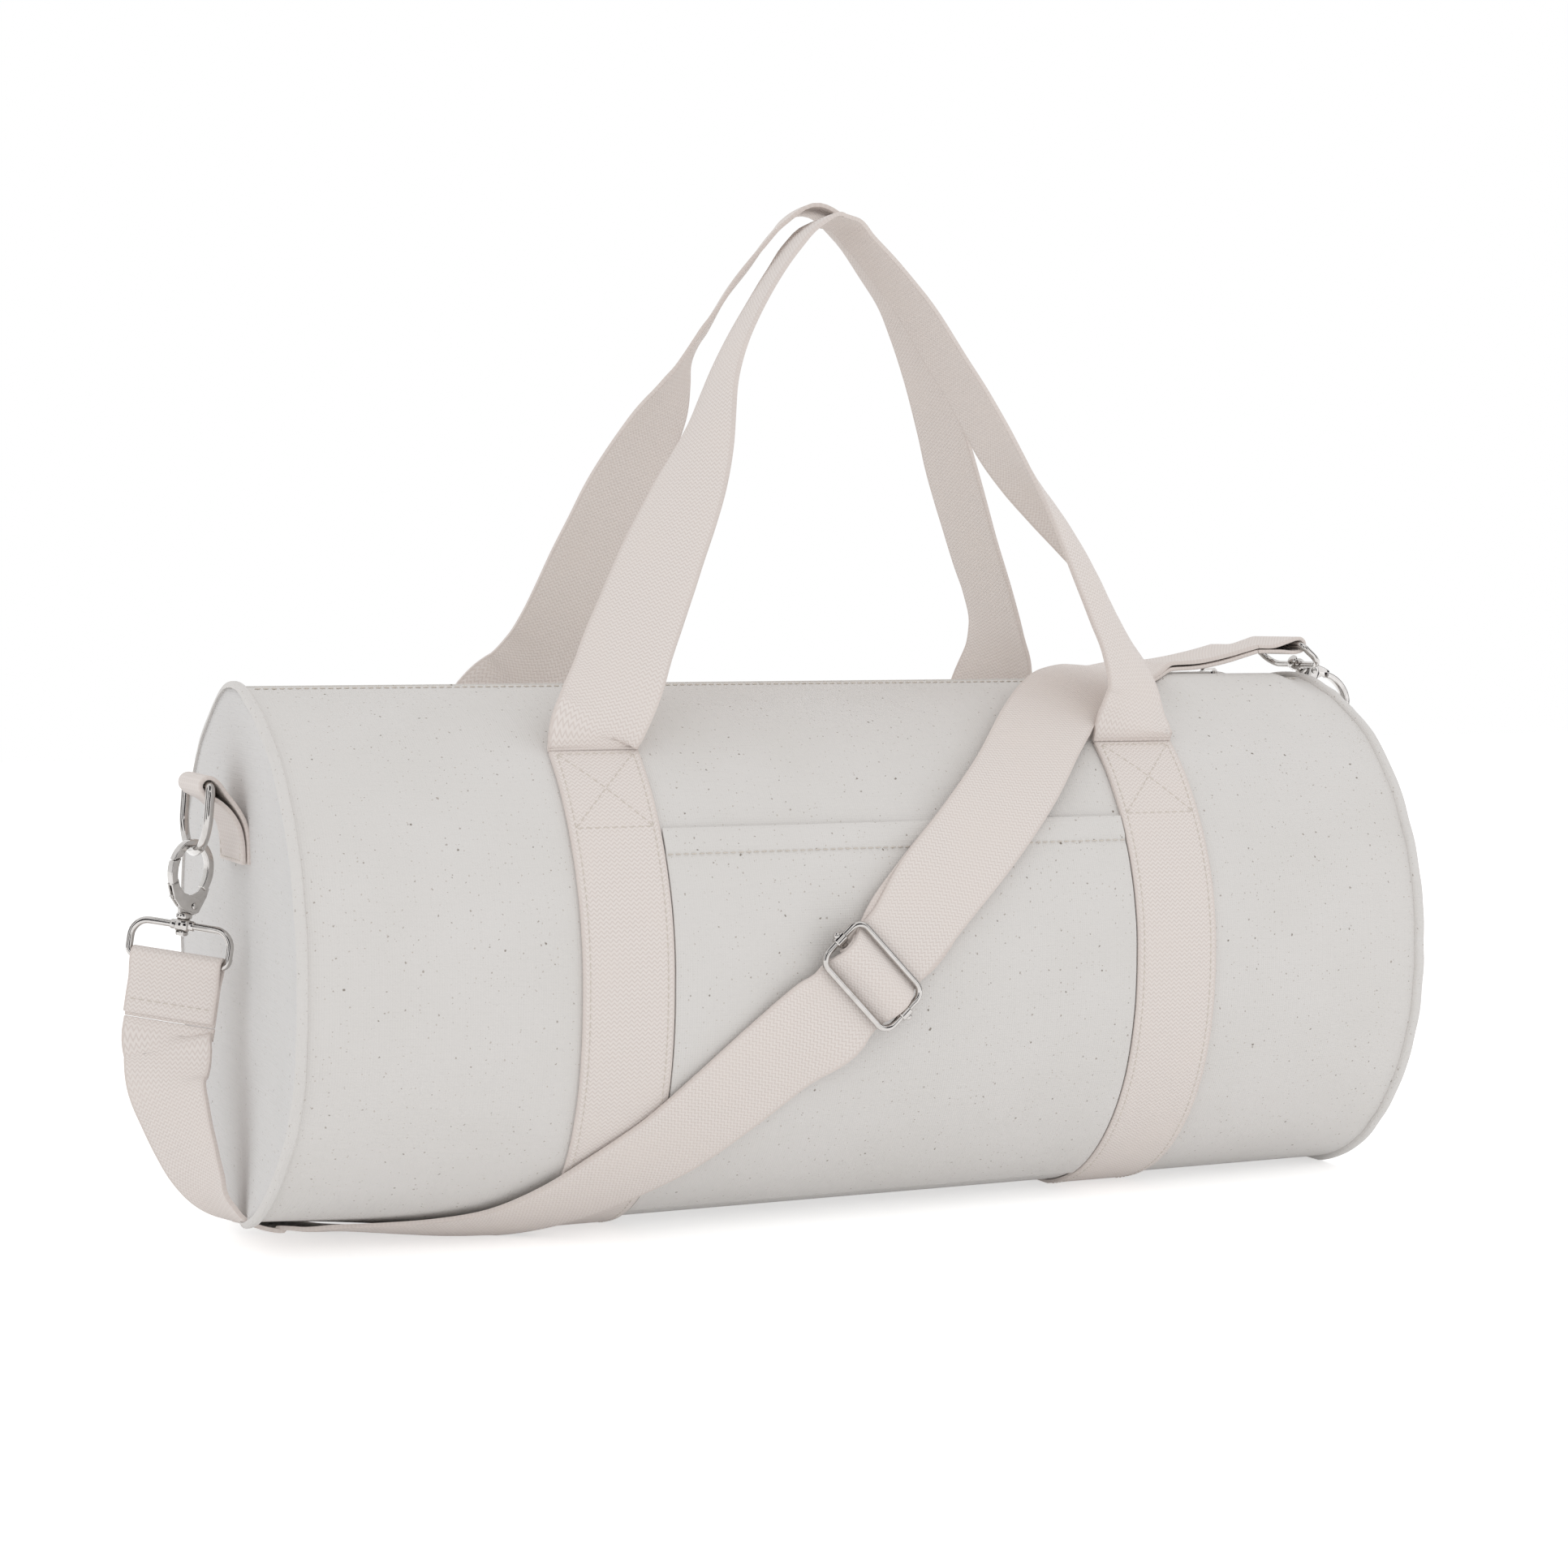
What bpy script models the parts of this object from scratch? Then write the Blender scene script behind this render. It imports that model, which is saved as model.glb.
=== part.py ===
"""A barrel gym bag in natural cotton canvas, with webbing handles and a clip-on shoulder strap.

Metres, +Z up. X runs along the barrel, the front with the pocket faces -Y, and the origin
is under the flat underside of the canvas, in the middle of the bag. The bag is shown closed,
standing on a table, with its handles raised and its strap clipped on and laid over it.
"""

import math

import bmesh
import bpy
from mathutils import Matrix, Vector

for old in list(bpy.data.objects):
    bpy.data.objects.remove(old, do_unlink=True)

# Common sizes
CLEARANCE = 0.0003
LAYER_GAP = 0.0006
CANVAS = 0.0012
WEBBING_WIDTH = 0.038
WEBBING = 0.0017

# The barrel: half its width and its top are even; its left end is held up by the strap below it
BAG_LENGTH = 0.500
HALF_WIDTH = 0.1082
END_TAPER = 0.0015
TOP_HEIGHT = 0.2235
AXIS_HEIGHT = 0.1115
END_AXIS_LIFT = 0.0045
END_LIFT = 0.0098
FLAT_DEPTH = 0.0005
LIFT_START_SHARE = 0.57
LOWER_SQUARENESS = 2.3
SEAM_WIDTH = 0.0042
SEAM_RISE = 0.0023
ANGLE_STEP = 6

# The zip along the top
ZIP_OPENING = 0.022
TAPE = 0.0008
TAPE_HEM = 0.0045
COIL_WIDTH = 0.0031
COIL_HEIGHT = 0.0022
COIL_GAP = 0.0003
CHAIN_END = 0.2085
ZIP_END_INSET = 0.0006
STOP_LENGTH = 0.0030
STOP_THICKNESS = 0.0009
STOP_GAP = 0.0014
SLIDER_LENGTH = 0.0140
SLIDER_WIDTH = 0.0100
SLIDER_PLATE = 0.0014
SLIDER_POST_LENGTH = 0.0022
SLIDER_POST_WIDTH = 0.0024
BRIDGE_LENGTH = 0.0076
BRIDGE_WIDTH = 0.0026
BRIDGE_BAR = 0.0012
PULLER_BAR = 0.0014
PULLER_LENGTH = 0.0280
PULLER_WIDTH = 0.0080
PULLER_THICKNESS = 0.0013
PULLER_WINDOW_LENGTH = 0.0052
PULLER_SLACK = 0.0004

# Pocket, bands and handles
BAND_SPACING = 0.247
BOX_TOP_ANGLE = 51.0
POCKET_TOP_ANGLE = 31.0
POCKET_BOTTOM_ANGLE = -62.0
HANDLE_RISE = 0.230
HANDLE_FOOT = 0.0015
HANDLE_HINGE_OUT = 0.0009
HANDLE_APEX_GAP = 0.0042

# The tabs that hold the rings, on the end panels
RING_BAR_DROP = 0.0389
RING_BAR_HEIGHT = TOP_HEIGHT - RING_BAR_DROP
TAB_FOOT_DROP = 0.0316
TAB_FOOT_HEIGHT = RING_BAR_HEIGHT - TAB_FOOT_DROP
TAB_BEND_DROP = 0.0056
TAB_BEND_HEIGHT = RING_BAR_HEIGHT - TAB_BEND_DROP
RING_BAR_REACH = 0.0160
RING_WIRE = 0.0038
RING_INNER_WIDTH = 0.0392
RING_INNER_HEIGHT = 0.0232
RING_CORNER = 0.0035
RING_WAIST_SHARE = 0.42

# The snap hooks, measured from the middle of the collar that they turn in
HOOK_WIDTH = 0.0184
HOOK_ARM = 0.0028
HOOK_DEPTH = 0.0044
HOOK_EYE_BOTTOM = 0.0122
HOOK_EYE_TOP = 0.0321
HOOK_WEB = 0.0020
HOOK_NECK_RADIUS = 0.0033
HOOK_NECK_LENGTH = 0.0022
HOOK_STEM_RADIUS = 0.0015
HOOK_HEAD_RADIUS = 0.0026
HOOK_HEAD_LENGTH = 0.0015
PIVOT_ACROSS = 0.0030
PIVOT_HEIGHT = 0.0081
PIVOT_RADIUS = 0.0008
PIVOT_BOSS_RADIUS = 0.0027
PIVOT_HEAD_RADIUS = 0.0013
PIVOT_HEAD = 0.0004
GATE_WALL = 0.0011
GATE_JOINT_ANGLE = 165.0
GATE_JOINT_LEAN = 14.0
GATE_FOOT_ANGLE = 214.0
SPRING_RADIUS = 0.0009
SPRING_WIRE = 0.0004
SPRING_TURNS = 4

# The wire loops that the strap is sewn round
LOOP_WIRE = 0.0030
LOOP_INNER_WIDTH = 0.0388
LOOP_DROP = 0.0145
LOOP_CORNER = 0.0030
COLLAR_LENGTH = 0.0096
COLLAR_HEIGHT = 0.0050
COLLAR_RADIUS = 0.0033

# The strap and its adjuster
FOLD_LENGTH = 0.0230
ADJUSTER_WIRE = 0.0028
ADJUSTER_LENGTH = 0.0446
ADJUSTER_WIDTH = 0.0260
ADJUSTER_CORNER = 0.0050
ADJUSTER_BAR = 0.0024
ADJUSTER_COLLAR = 0.0009
ADJUSTER_COLLAR_LENGTH = 0.0050
ADJUSTER_X = -0.0190
STRAP_CLIMB = 43.0
STRAP_NECK_SHARE = 0.93
STRAP_COLUMNS = 4

# Where the left chain hangs and where the right one lies over the rim
LEFT_RING_LEAN = 5.0
LEFT_HOOK_LEAN = 9.0
LEFT_HOOK_TURN = 14.0
LEFT_LOOP_TURN = 32.0
RIGHT_RING_LEAN = 159.0
RIGHT_HOOK_LEAN = 230.0

HALF_LENGTH = BAG_LENGTH / 2
BAND_X = BAND_SPACING / 2
BAND_TOP = CLEARANCE + WEBBING
SEAM_TOP = CLEARANCE + SEAM_RISE
STRAP_LIFT = BAND_TOP + LAYER_GAP + WEBBING / 2
LAYER = WEBBING + LAYER_GAP
LOOP_TURN = LOOP_WIRE / 2 + LAYER_GAP + WEBBING / 2

X_AXIS = Vector((1, 0, 0))
Y_AXIS = Vector((0, 1, 0))
Z_AXIS = Vector((0, 0, 1))


# The photographed surfaces: red, green and blue, then roughness and metallic value
CANVAS_CLOTH = (0.68, 0.65, 0.61, 0.9, 0.0)
COTTON_WEBBING = (0.76, 0.70, 0.65, 0.85, 0.0)
ZIP_TAPE = (0.74, 0.71, 0.62, 0.85, 0.0)
ZIP_COIL = (0.78, 0.74, 0.60, 0.45, 0.0)
NICKEL = (0.66, 0.64, 0.61, 0.18, 1.0)


def material(name, red, green, blue, roughness, metallic):
    """A plain surface in the photographed colour."""
    made = bpy.data.materials.new(name)
    made.use_nodes = True
    shader = made.node_tree.nodes["Principled BSDF"]
    shader.inputs["Base Color"].default_value = (red, green, blue, 1.0)
    shader.inputs["Roughness"].default_value = roughness
    shader.inputs["Metallic"].default_value = metallic
    return made


def finish(name, bm, surface, parent=None, place=None):
    """Turns a bmesh into an object with its faces outward, under a parent empty or in world space."""
    bmesh.ops.recalc_face_normals(bm, faces=bm.faces)
    mesh = bpy.data.meshes.new(name)
    bm.to_mesh(mesh)
    bm.free()
    mesh.shade_smooth()
    mesh.set_sharp_from_angle(angle=math.radians(35))
    mesh.materials.append(material(name, *surface))
    made = bpy.data.objects.new(name, mesh)
    bpy.context.scene.collection.objects.link(made)
    made.parent = parent
    if place is not None:
        made.matrix_local = place
    return made


def empty(name, place, parent=None):
    """A joint's place: its origin is on the joint's axis."""
    made = bpy.data.objects.new(name, None)
    bpy.context.scene.collection.objects.link(made)
    made.parent = parent
    made.matrix_local = place
    return made


def add_boolean(target, tool, operation):
    """Cuts or joins a helper shape, which is not a piece of its own."""
    tool.hide_render = True
    tool.display_type = "WIRE"
    change = target.modifiers.new(tool.name, "BOOLEAN")
    change.operation = operation
    change.object = tool
    return target


def bridge(bm, rings, closed=False):
    """Skins a run of equal rings of vertices, and caps its ends unless it closes on itself."""
    pairs = list(zip(rings, rings[1:]))
    if closed:
        pairs.append((rings[-1], rings[0]))
    for one, two in pairs:
        for index in range(len(one)):
            after = (index + 1) % len(one)
            bm.faces.new((one[index], one[after], two[after], two[index]))
    if not closed:
        bm.faces.new(list(reversed(rings[0])))
        bm.faces.new(rings[-1])


def slab(name, outer, inner, surface, parent=None, place=None):
    """A sheet with thickness, between two grids of points of the same size."""
    bm = bmesh.new()
    grids = [[[bm.verts.new(point) for point in row] for row in grid] for grid in (outer, inner)]
    rows, columns = len(outer), len(outer[0])
    for grid in grids:
        for i in range(rows - 1):
            for j in range(columns - 1):
                bm.faces.new((grid[i][j], grid[i + 1][j], grid[i + 1][j + 1], grid[i][j + 1]))
    rim = [(0, j) for j in range(columns)] + [(i, columns - 1) for i in range(1, rows)]
    rim += [(rows - 1, j) for j in range(columns - 2, -1, -1)] + [(i, 0) for i in range(rows - 2, 0, -1)]
    for (i, j), (k, m) in zip(rim, rim[1:] + rim[:1]):
        bm.faces.new((grids[0][i][j], grids[0][k][m], grids[1][k][m], grids[1][i][j]))
    return finish(name, bm, surface, parent, place)


def ribbon(name, stations, surface, parent=None, place=None):
    """Webbing along a path: each station is a point, the way across it and the way out of its face."""
    outer, inner = [], []
    for point, across, out in stations:
        edges = [point + across * (share * WEBBING_WIDTH / 2) for share in (-1, 1)]
        outer.append([edge + out * (WEBBING / 2) for edge in edges])
        inner.append([edge - out * (WEBBING / 2) for edge in edges])
    return slab(name, outer, inner, surface, parent, place)


def extruded(bm, outline, height, depth, plane):
    """Fills an outline and gives it depth: in the plane XZ it grows along Y, in XY along Z."""
    if plane == "XZ":
        corners, way = [(a, height, b) for a, b in outline], (0, depth, 0)
    else:
        corners, way = [(a, b, height) for a, b in outline], (0, 0, depth)
    face = bm.faces.new([bm.verts.new(corner) for corner in corners])
    moved = bmesh.ops.extrude_face_region(bm, geom=[face])["geom"]
    verts = [part for part in moved if isinstance(part, bmesh.types.BMVert)]
    bmesh.ops.translate(bm, verts=verts, vec=way)


def plate(name, outline, depth, surface, parent=None, place=None):
    """An outline of (across, up) points in the XZ plane, extruded evenly to both sides along Y."""
    bm = bmesh.new()
    extruded(bm, outline, -depth / 2, depth, "XZ")
    return finish(name, bm, surface, parent, place)


def block(name, size, parent, middle):
    """A plain box, for joining to a piece or for cutting one."""
    bm = bmesh.new()
    made = bmesh.ops.create_cube(bm, size=1.0)["verts"]
    bmesh.ops.scale(bm, vec=size, verts=made)
    return finish(name, bm, NICKEL, parent, Matrix.Translation(middle))


def turned(name, profile, surface, parent=None, place=None, steps=16):
    """A profile of (radius, height) points turned about Z, closed at both ends."""
    bm = bmesh.new()
    rings = []
    for radius, height in profile:
        circle = arc((0, 0), (radius, radius), 0, 360 - 360 / steps, steps - 1)
        rings.append([bm.verts.new((x, y, height)) for x, y in circle])
    bridge(bm, rings)
    return finish(name, bm, surface, parent, place)


def wire(name, points, diameter, surface, parent=None, place=None, cyclic=True, sides=8):
    """Round wire along points: a closed loop, or an open run with closed ends."""
    bm = bmesh.new()
    count = len(points)
    path = [Vector(point) for point in points]
    rings = []
    across = None
    for index, point in enumerate(path):
        if cyclic:
            line = path[(index + 1) % count] - path[index - 1]
        else:
            line = path[min(index + 1, count - 1)] - path[max(index - 1, 0)]
        line.normalize()
        across = line.orthogonal() if across is None else across - line * across.dot(line)
        across.normalize()
        other = line.cross(across)
        circle = arc((0, 0), (diameter / 2, diameter / 2), 0, 360 - 360 / sides, sides - 1)
        rings.append([bm.verts.new(point + across * a + other * b) for a, b in circle])
    bridge(bm, rings, closed=cyclic)
    return finish(name, bm, surface, parent, place)


def arc(center, radii, start, end, steps):
    """Points of an elliptical arc, from one angle to another in degrees."""
    angles = [math.radians(start + (end - start) * i / steps) for i in range(steps + 1)]
    return [(center[0] + radii[0] * math.cos(a), center[1] + radii[1] * math.sin(a)) for a in angles]


def rounded_rectangle(width, height, corner, steps=4):
    """A rectangle with round corners, centred on zero, as one closed run of points."""
    points = []
    for quarter, (sx, sy) in enumerate(((1, 1), (-1, 1), (-1, -1), (1, -1))):
        middle = (sx * (width / 2 - corner), sy * (height / 2 - corner))
        points += arc(middle, (corner, corner), quarter * 90, quarter * 90 + 90, steps)
    return points


def smooth_path(points, steps):
    """A smooth run through tuples of numbers, of which the first three at most are a place."""
    gaps = [math.dist(one[:3], two[:3]) for one, two in zip(points, points[1:])]
    rates = []
    for one, two, gap in zip(points, points[1:], gaps):
        rates.append([(b - a) / gap for a, b in zip(one, two)])
    slopes = [rates[0]]
    for i in range(1, len(points) - 1):
        share = gaps[i] / (gaps[i - 1] + gaps[i])
        slopes.append([a * share + b * (1 - share) for a, b in zip(rates[i - 1], rates[i])])
    slopes.append(rates[-1])
    path = []
    for i, gap in enumerate(gaps):
        for step in range(steps):
            t = step / steps
            rise = t * t * (3 - 2 * t)
            leave, arrive = t * (1 - t) ** 2 * gap, t * t * (t - 1) * gap
            row = zip(points[i], points[i + 1], slopes[i], slopes[i + 1])
            path.append(tuple(a + (b - a) * rise + m * leave + n * arrive for a, b, m, n in row))
    path.append(tuple(points[-1]))
    return path


def end_share(x):
    """How much of the left end's lift applies here: none by the left band, all at the left seam."""
    t = (-x / HALF_LENGTH - LIFT_START_SHARE) / (1 - LIFT_START_SHARE)
    t = min(max(t, 0.0), 1.0)
    return t * t * (3 - 2 * t)


def section(x):
    """The canvas's outline at x: half its width, its axis's height, and how far it goes up and down."""
    axis = AXIS_HEIGHT + END_AXIS_LIFT * end_share(x)
    bottom = END_LIFT * end_share(x) - FLAT_DEPTH
    return HALF_WIDTH - END_TAPER * x / HALF_LENGTH, axis, TOP_HEIGHT - axis, axis - bottom


def outline_point(x, degrees):
    """The canvas's outline at an angle: 0 faces the front, 90 is the top and -90 the bottom."""
    half, axis, up, down = section(x)
    c, s = math.cos(math.radians(degrees)), math.sin(math.radians(degrees))
    power, reach = (2.0, up) if s >= 0 else (LOWER_SQUARENESS, down)
    radius = ((abs(c) / half) ** power + (abs(s) / reach) ** power) ** (-1 / power)
    return Vector((x, -radius * c, axis + radius * s))


def outward(x, degrees):
    """The way straight out of the barrel at an angle."""
    along = outline_point(x, degrees + 0.5) - outline_point(x, degrees - 0.5)
    return Vector((0, -along.z, along.y)).normalized()


def on_barrel(x, degrees, lift=0.0, floor=0.0):
    """A point that stands off the canvas by lift, and no lower than floor."""
    point = outline_point(x, degrees) + outward(x, degrees) * lift
    return Vector((x, point.y, max(point.z, floor)))


def angle_of(point):
    """The angle on the barrel at which a point stands."""
    return math.degrees(math.atan2(point.z - section(point.x)[1], -point.y))


def angle_above(x, y):
    """The angle at which the top of the barrel is y away from its middle."""
    half, _, up, _ = section(x)
    return math.degrees(math.atan2(up * math.sqrt(1 - (y / half) ** 2), y))


def angles_between(start, end):
    """Angles from start down to end, at the even steps that every piece on the barrel shares."""
    first, last = math.floor(start / ANGLE_STEP), math.ceil(end / ANGLE_STEP)
    inside = [k * ANGLE_STEP for k in range(first, last - 1, -1)]
    inside = [a for a in inside if start - a > 1 and a - end > 1]
    return [start, *inside, end]


def lengthwise(start, end):
    """Places along the bag from start to end, close together where its left end rises."""
    shares = (-0.97, -0.92, -0.86, -0.80, -0.74, -0.68, -0.62, -0.57)
    inside = [share * HALF_LENGTH for share in shares]
    return [start, *[x for x in inside if start + WEBBING < x < end - WEBBING], end]


def make_body_panel():
    """One rectangle of canvas, rolled from one side of the zip under the bag to the other."""
    edge = WEBBING_WIDTH / 2 + LAYER_GAP
    ramp = edge + WEBBING
    end = HALF_LENGTH - SEAM_WIDTH / 2 - CLEARANCE
    seam = HALF_LENGTH - SEAM_WIDTH - CLEARANCE
    raised = WEBBING + CLEARANCE
    right = [(0.0, 0.0), (BAND_X - ramp, 0.0), (BAND_X - edge, raised), (BAND_X + edge, raised)]
    left = [(-x, floor) for x, floor in reversed(right)][:-1]
    stations = [(x, 0.0) for x in lengthwise(-end, -BAND_X - ramp)] + left + right
    stations += [(BAND_X + ramp, 0.0), (seam - SEAM_RISE, 0.0)]
    stations += [(seam, SEAM_RISE + CLEARANCE), (end, SEAM_RISE + CLEARANCE)]
    outer, inner = [], []
    for x, floor in stations:
        start = angle_above(x, ZIP_OPENING / 2)
        angles = angles_between(start, -180 - start)
        outer.append([on_barrel(x, a, 0.0, floor) for a in angles])
        inner.append([on_barrel(x, a, -CANVAS, floor + CANVAS) for a in angles])
    slab("body_panel", outer, inner, CANVAS_CLOTH)


def make_end(side, name):
    """A round end of canvas, and the ridge of turned seam that joins it to the barrel."""
    angles = [ANGLE_STEP * i - 180 for i in range(360 // ANGLE_STEP)]
    floor = SEAM_RISE + CLEARANCE
    face = side * (HALF_LENGTH - SEAM_WIDTH / 2)
    bm = bmesh.new()
    rings = []
    for x in (face, face + side * CANVAS):
        edge = [on_barrel(face, a, 0.0, floor) for a in angles]
        rings.append([bm.verts.new((x, point.y, point.z)) for point in edge])
    bridge(bm, rings)
    finish(f"end_panel_{name}", bm, CANVAS_CLOTH)

    inner_x, outer_x = HALF_LENGTH - SEAM_WIDTH, HALF_LENGTH
    crown = (inner_x + outer_x) / 2
    shoulder, low = SEAM_TOP - SEAM_RISE / 3, SEAM_RISE / 3
    profile = [(inner_x, CLEARANCE, SEAM_RISE), (outer_x, CLEARANCE, SEAM_RISE)]
    profile += [(outer_x, shoulder, low), (crown, SEAM_TOP, 0.0), (inner_x, shoulder, low)]
    bm = bmesh.new()
    rings = []
    for a in angles:
        points = [(x, on_barrel(face, a, lift, least)) for x, lift, least in profile]
        rings.append([bm.verts.new((side * x, point.y, point.z)) for x, point in points])
    bridge(bm, rings, closed=True)
    finish(f"seam_ridge_{name}", bm, CANVAS_CLOTH)


def make_pocket():
    """A flat pocket between the bands, sewn into their edges, open along its hemmed top."""
    reach = BAND_X - WEBBING_WIDTH / 2 - LAYER_GAP
    angles = angles_between(POCKET_TOP_ANGLE, POCKET_BOTTOM_ANGLE)
    grids = []
    for lift in (CLEARANCE + CANVAS, CLEARANCE):
        grids.append([[on_barrel(x, a, lift) for a in angles] for x in (-reach, 0.0, reach)])
    slab("pocket_panel", grids[0], grids[1], CANVAS_CLOTH)


def make_band(side, name):
    """Webbing sewn on from the front box of stitching, under the bag, to the back one."""
    half = WEBBING_WIDTH / 2
    angles = angles_between(BOX_TOP_ANGLE, -180 - BOX_TOP_ANGLE)
    places = [side * BAND_X - half, side * BAND_X + half]
    grids = []
    for lift, floor in ((BAND_TOP, 0.0), (CLEARANCE, WEBBING)):
        grids.append([[on_barrel(x, a, lift, floor) for a in angles] for x in places])
    slab(f"band_{name}", grids[0], grids[1], COTTON_WEBBING)


# A handle's middle line from its left foot to its right one: shares of half the distance between
# the bands, of the handle's rise, and of its foot's distance from the bag's middle. The last
# number turns the webbing about its own line, in degrees from facing the front.
FRONT_HANDLE_SHARES = (
    (-0.999, 0.030, 1.012, 0),
    (-0.970, 0.062, 0.990, 0),
    (-0.890, 0.118, 0.920, 0),
    (-0.794, 0.228, 0.775, 0),
    (-0.688, 0.332, 0.668, 0),
    (-0.580, 0.445, 0.555, 0),
    (-0.475, 0.565, 0.440, -8),
    (-0.425, 0.640, 0.365, -45),
    (-0.389, 0.700, 0.310, -80),
    (-0.300, 0.796, 0.235, -90),
    (-0.174, 0.891, 0.150, -90),
    (-0.057, 0.952, 0.090, -90),
    (0.045, 0.972, 0.060, -90),
    (0.168, 0.940, 0.080, -92),
    (0.270, 0.870, 0.140, -96),
    (0.372, 0.791, 0.215, -99),
    (0.526, 0.648, 0.350, -101),
    (0.620, 0.552, 0.440, -98),
    (0.720, 0.461, 0.535, -94),
    (0.824, 0.365, 0.635, -89),
    (0.939, 0.257, 0.745, -78),
    (1.000, 0.183, 0.825, -54),
    (1.022, 0.126, 0.915, -28),
    (1.013, 0.075, 1.005, -8),
    (1.001, 0.030, 1.024, 0),
)
BACK_HANDLE_SHARES = (
    (-0.999, 0.030, 1.012, 0),
    (-0.970, 0.066, 0.990, 0),
    (-0.885, 0.130, 0.910, 0),
    (-0.760, 0.235, 0.770, 0),
    (-0.640, 0.361, 0.640, 0),
    (-0.540, 0.455, 0.545, 0),
    (-0.455, 0.560, 0.440, -4),
    (-0.395, 0.650, 0.350, -30),
    (-0.365, 0.730, 0.285, -62),
    (-0.328, 0.800, 0.225, -68),
    (-0.205, 0.915, 0.140, -74),
    (-0.060, 0.990, 0.080, -82),
    (0.080, 1.020, 0.060, -88),
    (0.225, 0.960, 0.100, -84),
    (0.364, 0.850, 0.180, -78),
    (0.475, 0.740, 0.270, -74),
    (0.600, 0.620, 0.385, -70),
    (0.710, 0.510, 0.490, -70),
    (0.800, 0.422, 0.580, -72),
    (0.886, 0.330, 0.675, -70),
    (0.975, 0.225, 0.780, -54),
    (1.010, 0.155, 0.870, -30),
    (1.006, 0.080, 0.970, -8),
    (1.000, 0.030, 1.012, 0),
)


def make_handle(side, name, table):
    """A carrying handle: flat at its sewn feet and turned on edge where the hands hold it."""
    tangent = outline_point(0, BOX_TOP_ANGLE + 0.5) - outline_point(0, BOX_TOP_ANGLE - 0.5)
    tangent.normalize()
    out = outward(0, BOX_TOP_ANGLE)
    feet = []
    for share in (-1, 1):
        base = on_barrel(share * BAND_X, BOX_TOP_ANGLE, CLEARANCE + WEBBING / 2)
        feet.append([base + tangent * CLEARANCE, base + tangent * HANDLE_FOOT])
    rows = [(*feet[0][1], 0.0)]
    foot_y, foot_z = feet[0][0].y, feet[0][0].z
    for x, up, away, turn in table:
        y = -HANDLE_APEX_GAP + (foot_y + HANDLE_APEX_GAP) * away
        rows.append((x * BAND_X, y, foot_z + up * HANDLE_RISE, turn))
    rows.append((*feet[1][1], 0.0))
    path = [(*feet[0][0], 0.0), *smooth_path(rows, 2), (*feet[1][0], 0.0)]
    stations = []
    for index, row in enumerate(path):
        point = Vector(row[:3])
        before, after = path[max(index - 1, 0)], path[min(index + 1, len(path) - 1)]
        line = (Vector(after[:3]) - Vector(before[:3])).normalized()
        level = Y_AXIS.cross(line).normalized()
        turn = math.radians(row[3])
        across = level * math.cos(turn) + line.cross(level) * math.sin(turn)
        stations.append((point, across, across.cross(line).normalized()))
    stations[0] = (stations[0][0], X_AXIS, out)
    stations[-1] = (stations[-1][0], -X_AXIS, out)
    if side > 0:
        flip = Matrix.Diagonal((1, -1, 1))
        stations = [(flip @ point, flip @ across, flip @ face) for point, across, face in stations]
    pivot = on_barrel(0, BOX_TOP_ANGLE, BAND_TOP + HANDLE_HINGE_OUT)
    pivot.y *= -side
    hinge = empty(f"handle_{name}_hinge", Matrix.Translation(pivot))
    local = [(point - pivot, across, face) for point, across, face in stations]
    ribbon(f"handle_{name}", local, COTTON_WEBBING, hinge, Matrix())


def zip_level():
    """The height of the middle of the zip's tapes and coils."""
    return TOP_HEIGHT - CANVAS - CLEARANCE - TAPE / 2


def slider_center():
    """Where the slider stands when the zip is closed: its post is just past the end of the chain."""
    return CHAIN_END + CLEARANCE + SLIDER_POST_LENGTH + SLIDER_PLATE / 2 - SLIDER_LENGTH / 2


def make_zip():
    """Two tapes under the edges of the canvas, the closed coils between them and the end stops."""
    end = HALF_LENGTH - SEAM_WIDTH - ZIP_END_INSET
    coil_edge = COIL_GAP / 2 + COIL_WIDTH
    near, far = coil_edge + CLEARANCE, ZIP_OPENING / 2 + TAPE_HEM
    reaches = [near + (far - near) * i / 3 for i in range(4)]
    for side, name in ((-1, "front"), (1, "back")):
        grids = []
        for lift in (-CANVAS - CLEARANCE, -CANVAS - CLEARANCE - TAPE):
            grid = []
            for x in lengthwise(-end, end):
                row = [on_barrel(x, angle_above(x, reach), lift) for reach in reaches]
                grid.append([Vector((x, -side * point.y, point.z)) for point in row])
            grids.append(grid)
        slab(f"zip_tape_{name}", grids[0], grids[1], ZIP_TAPE)

        bm = bmesh.new()
        middle = side * (COIL_GAP / 2 + COIL_WIDTH / 2)
        circle = arc((middle, zip_level()), (COIL_WIDTH / 2, COIL_HEIGHT / 2), 0, 315, 7)
        bridge(bm, [[bm.verts.new((x, y, z)) for y, z in circle] for x in (-end, CHAIN_END)])
        finish(f"zip_coil_{name}", bm, ZIP_COIL)

        start = slider_center() + SLIDER_LENGTH / 2 + STOP_GAP
        top = zip_level() + TAPE / 2 + CLEARANCE + STOP_THICKNESS / 2
        middle = (start + STOP_LENGTH / 2, side * (near + COIL_WIDTH / 2), top)
        block(f"zip_stop_{name}", (STOP_LENGTH, COIL_WIDTH, STOP_THICKNESS), None, middle)


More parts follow.
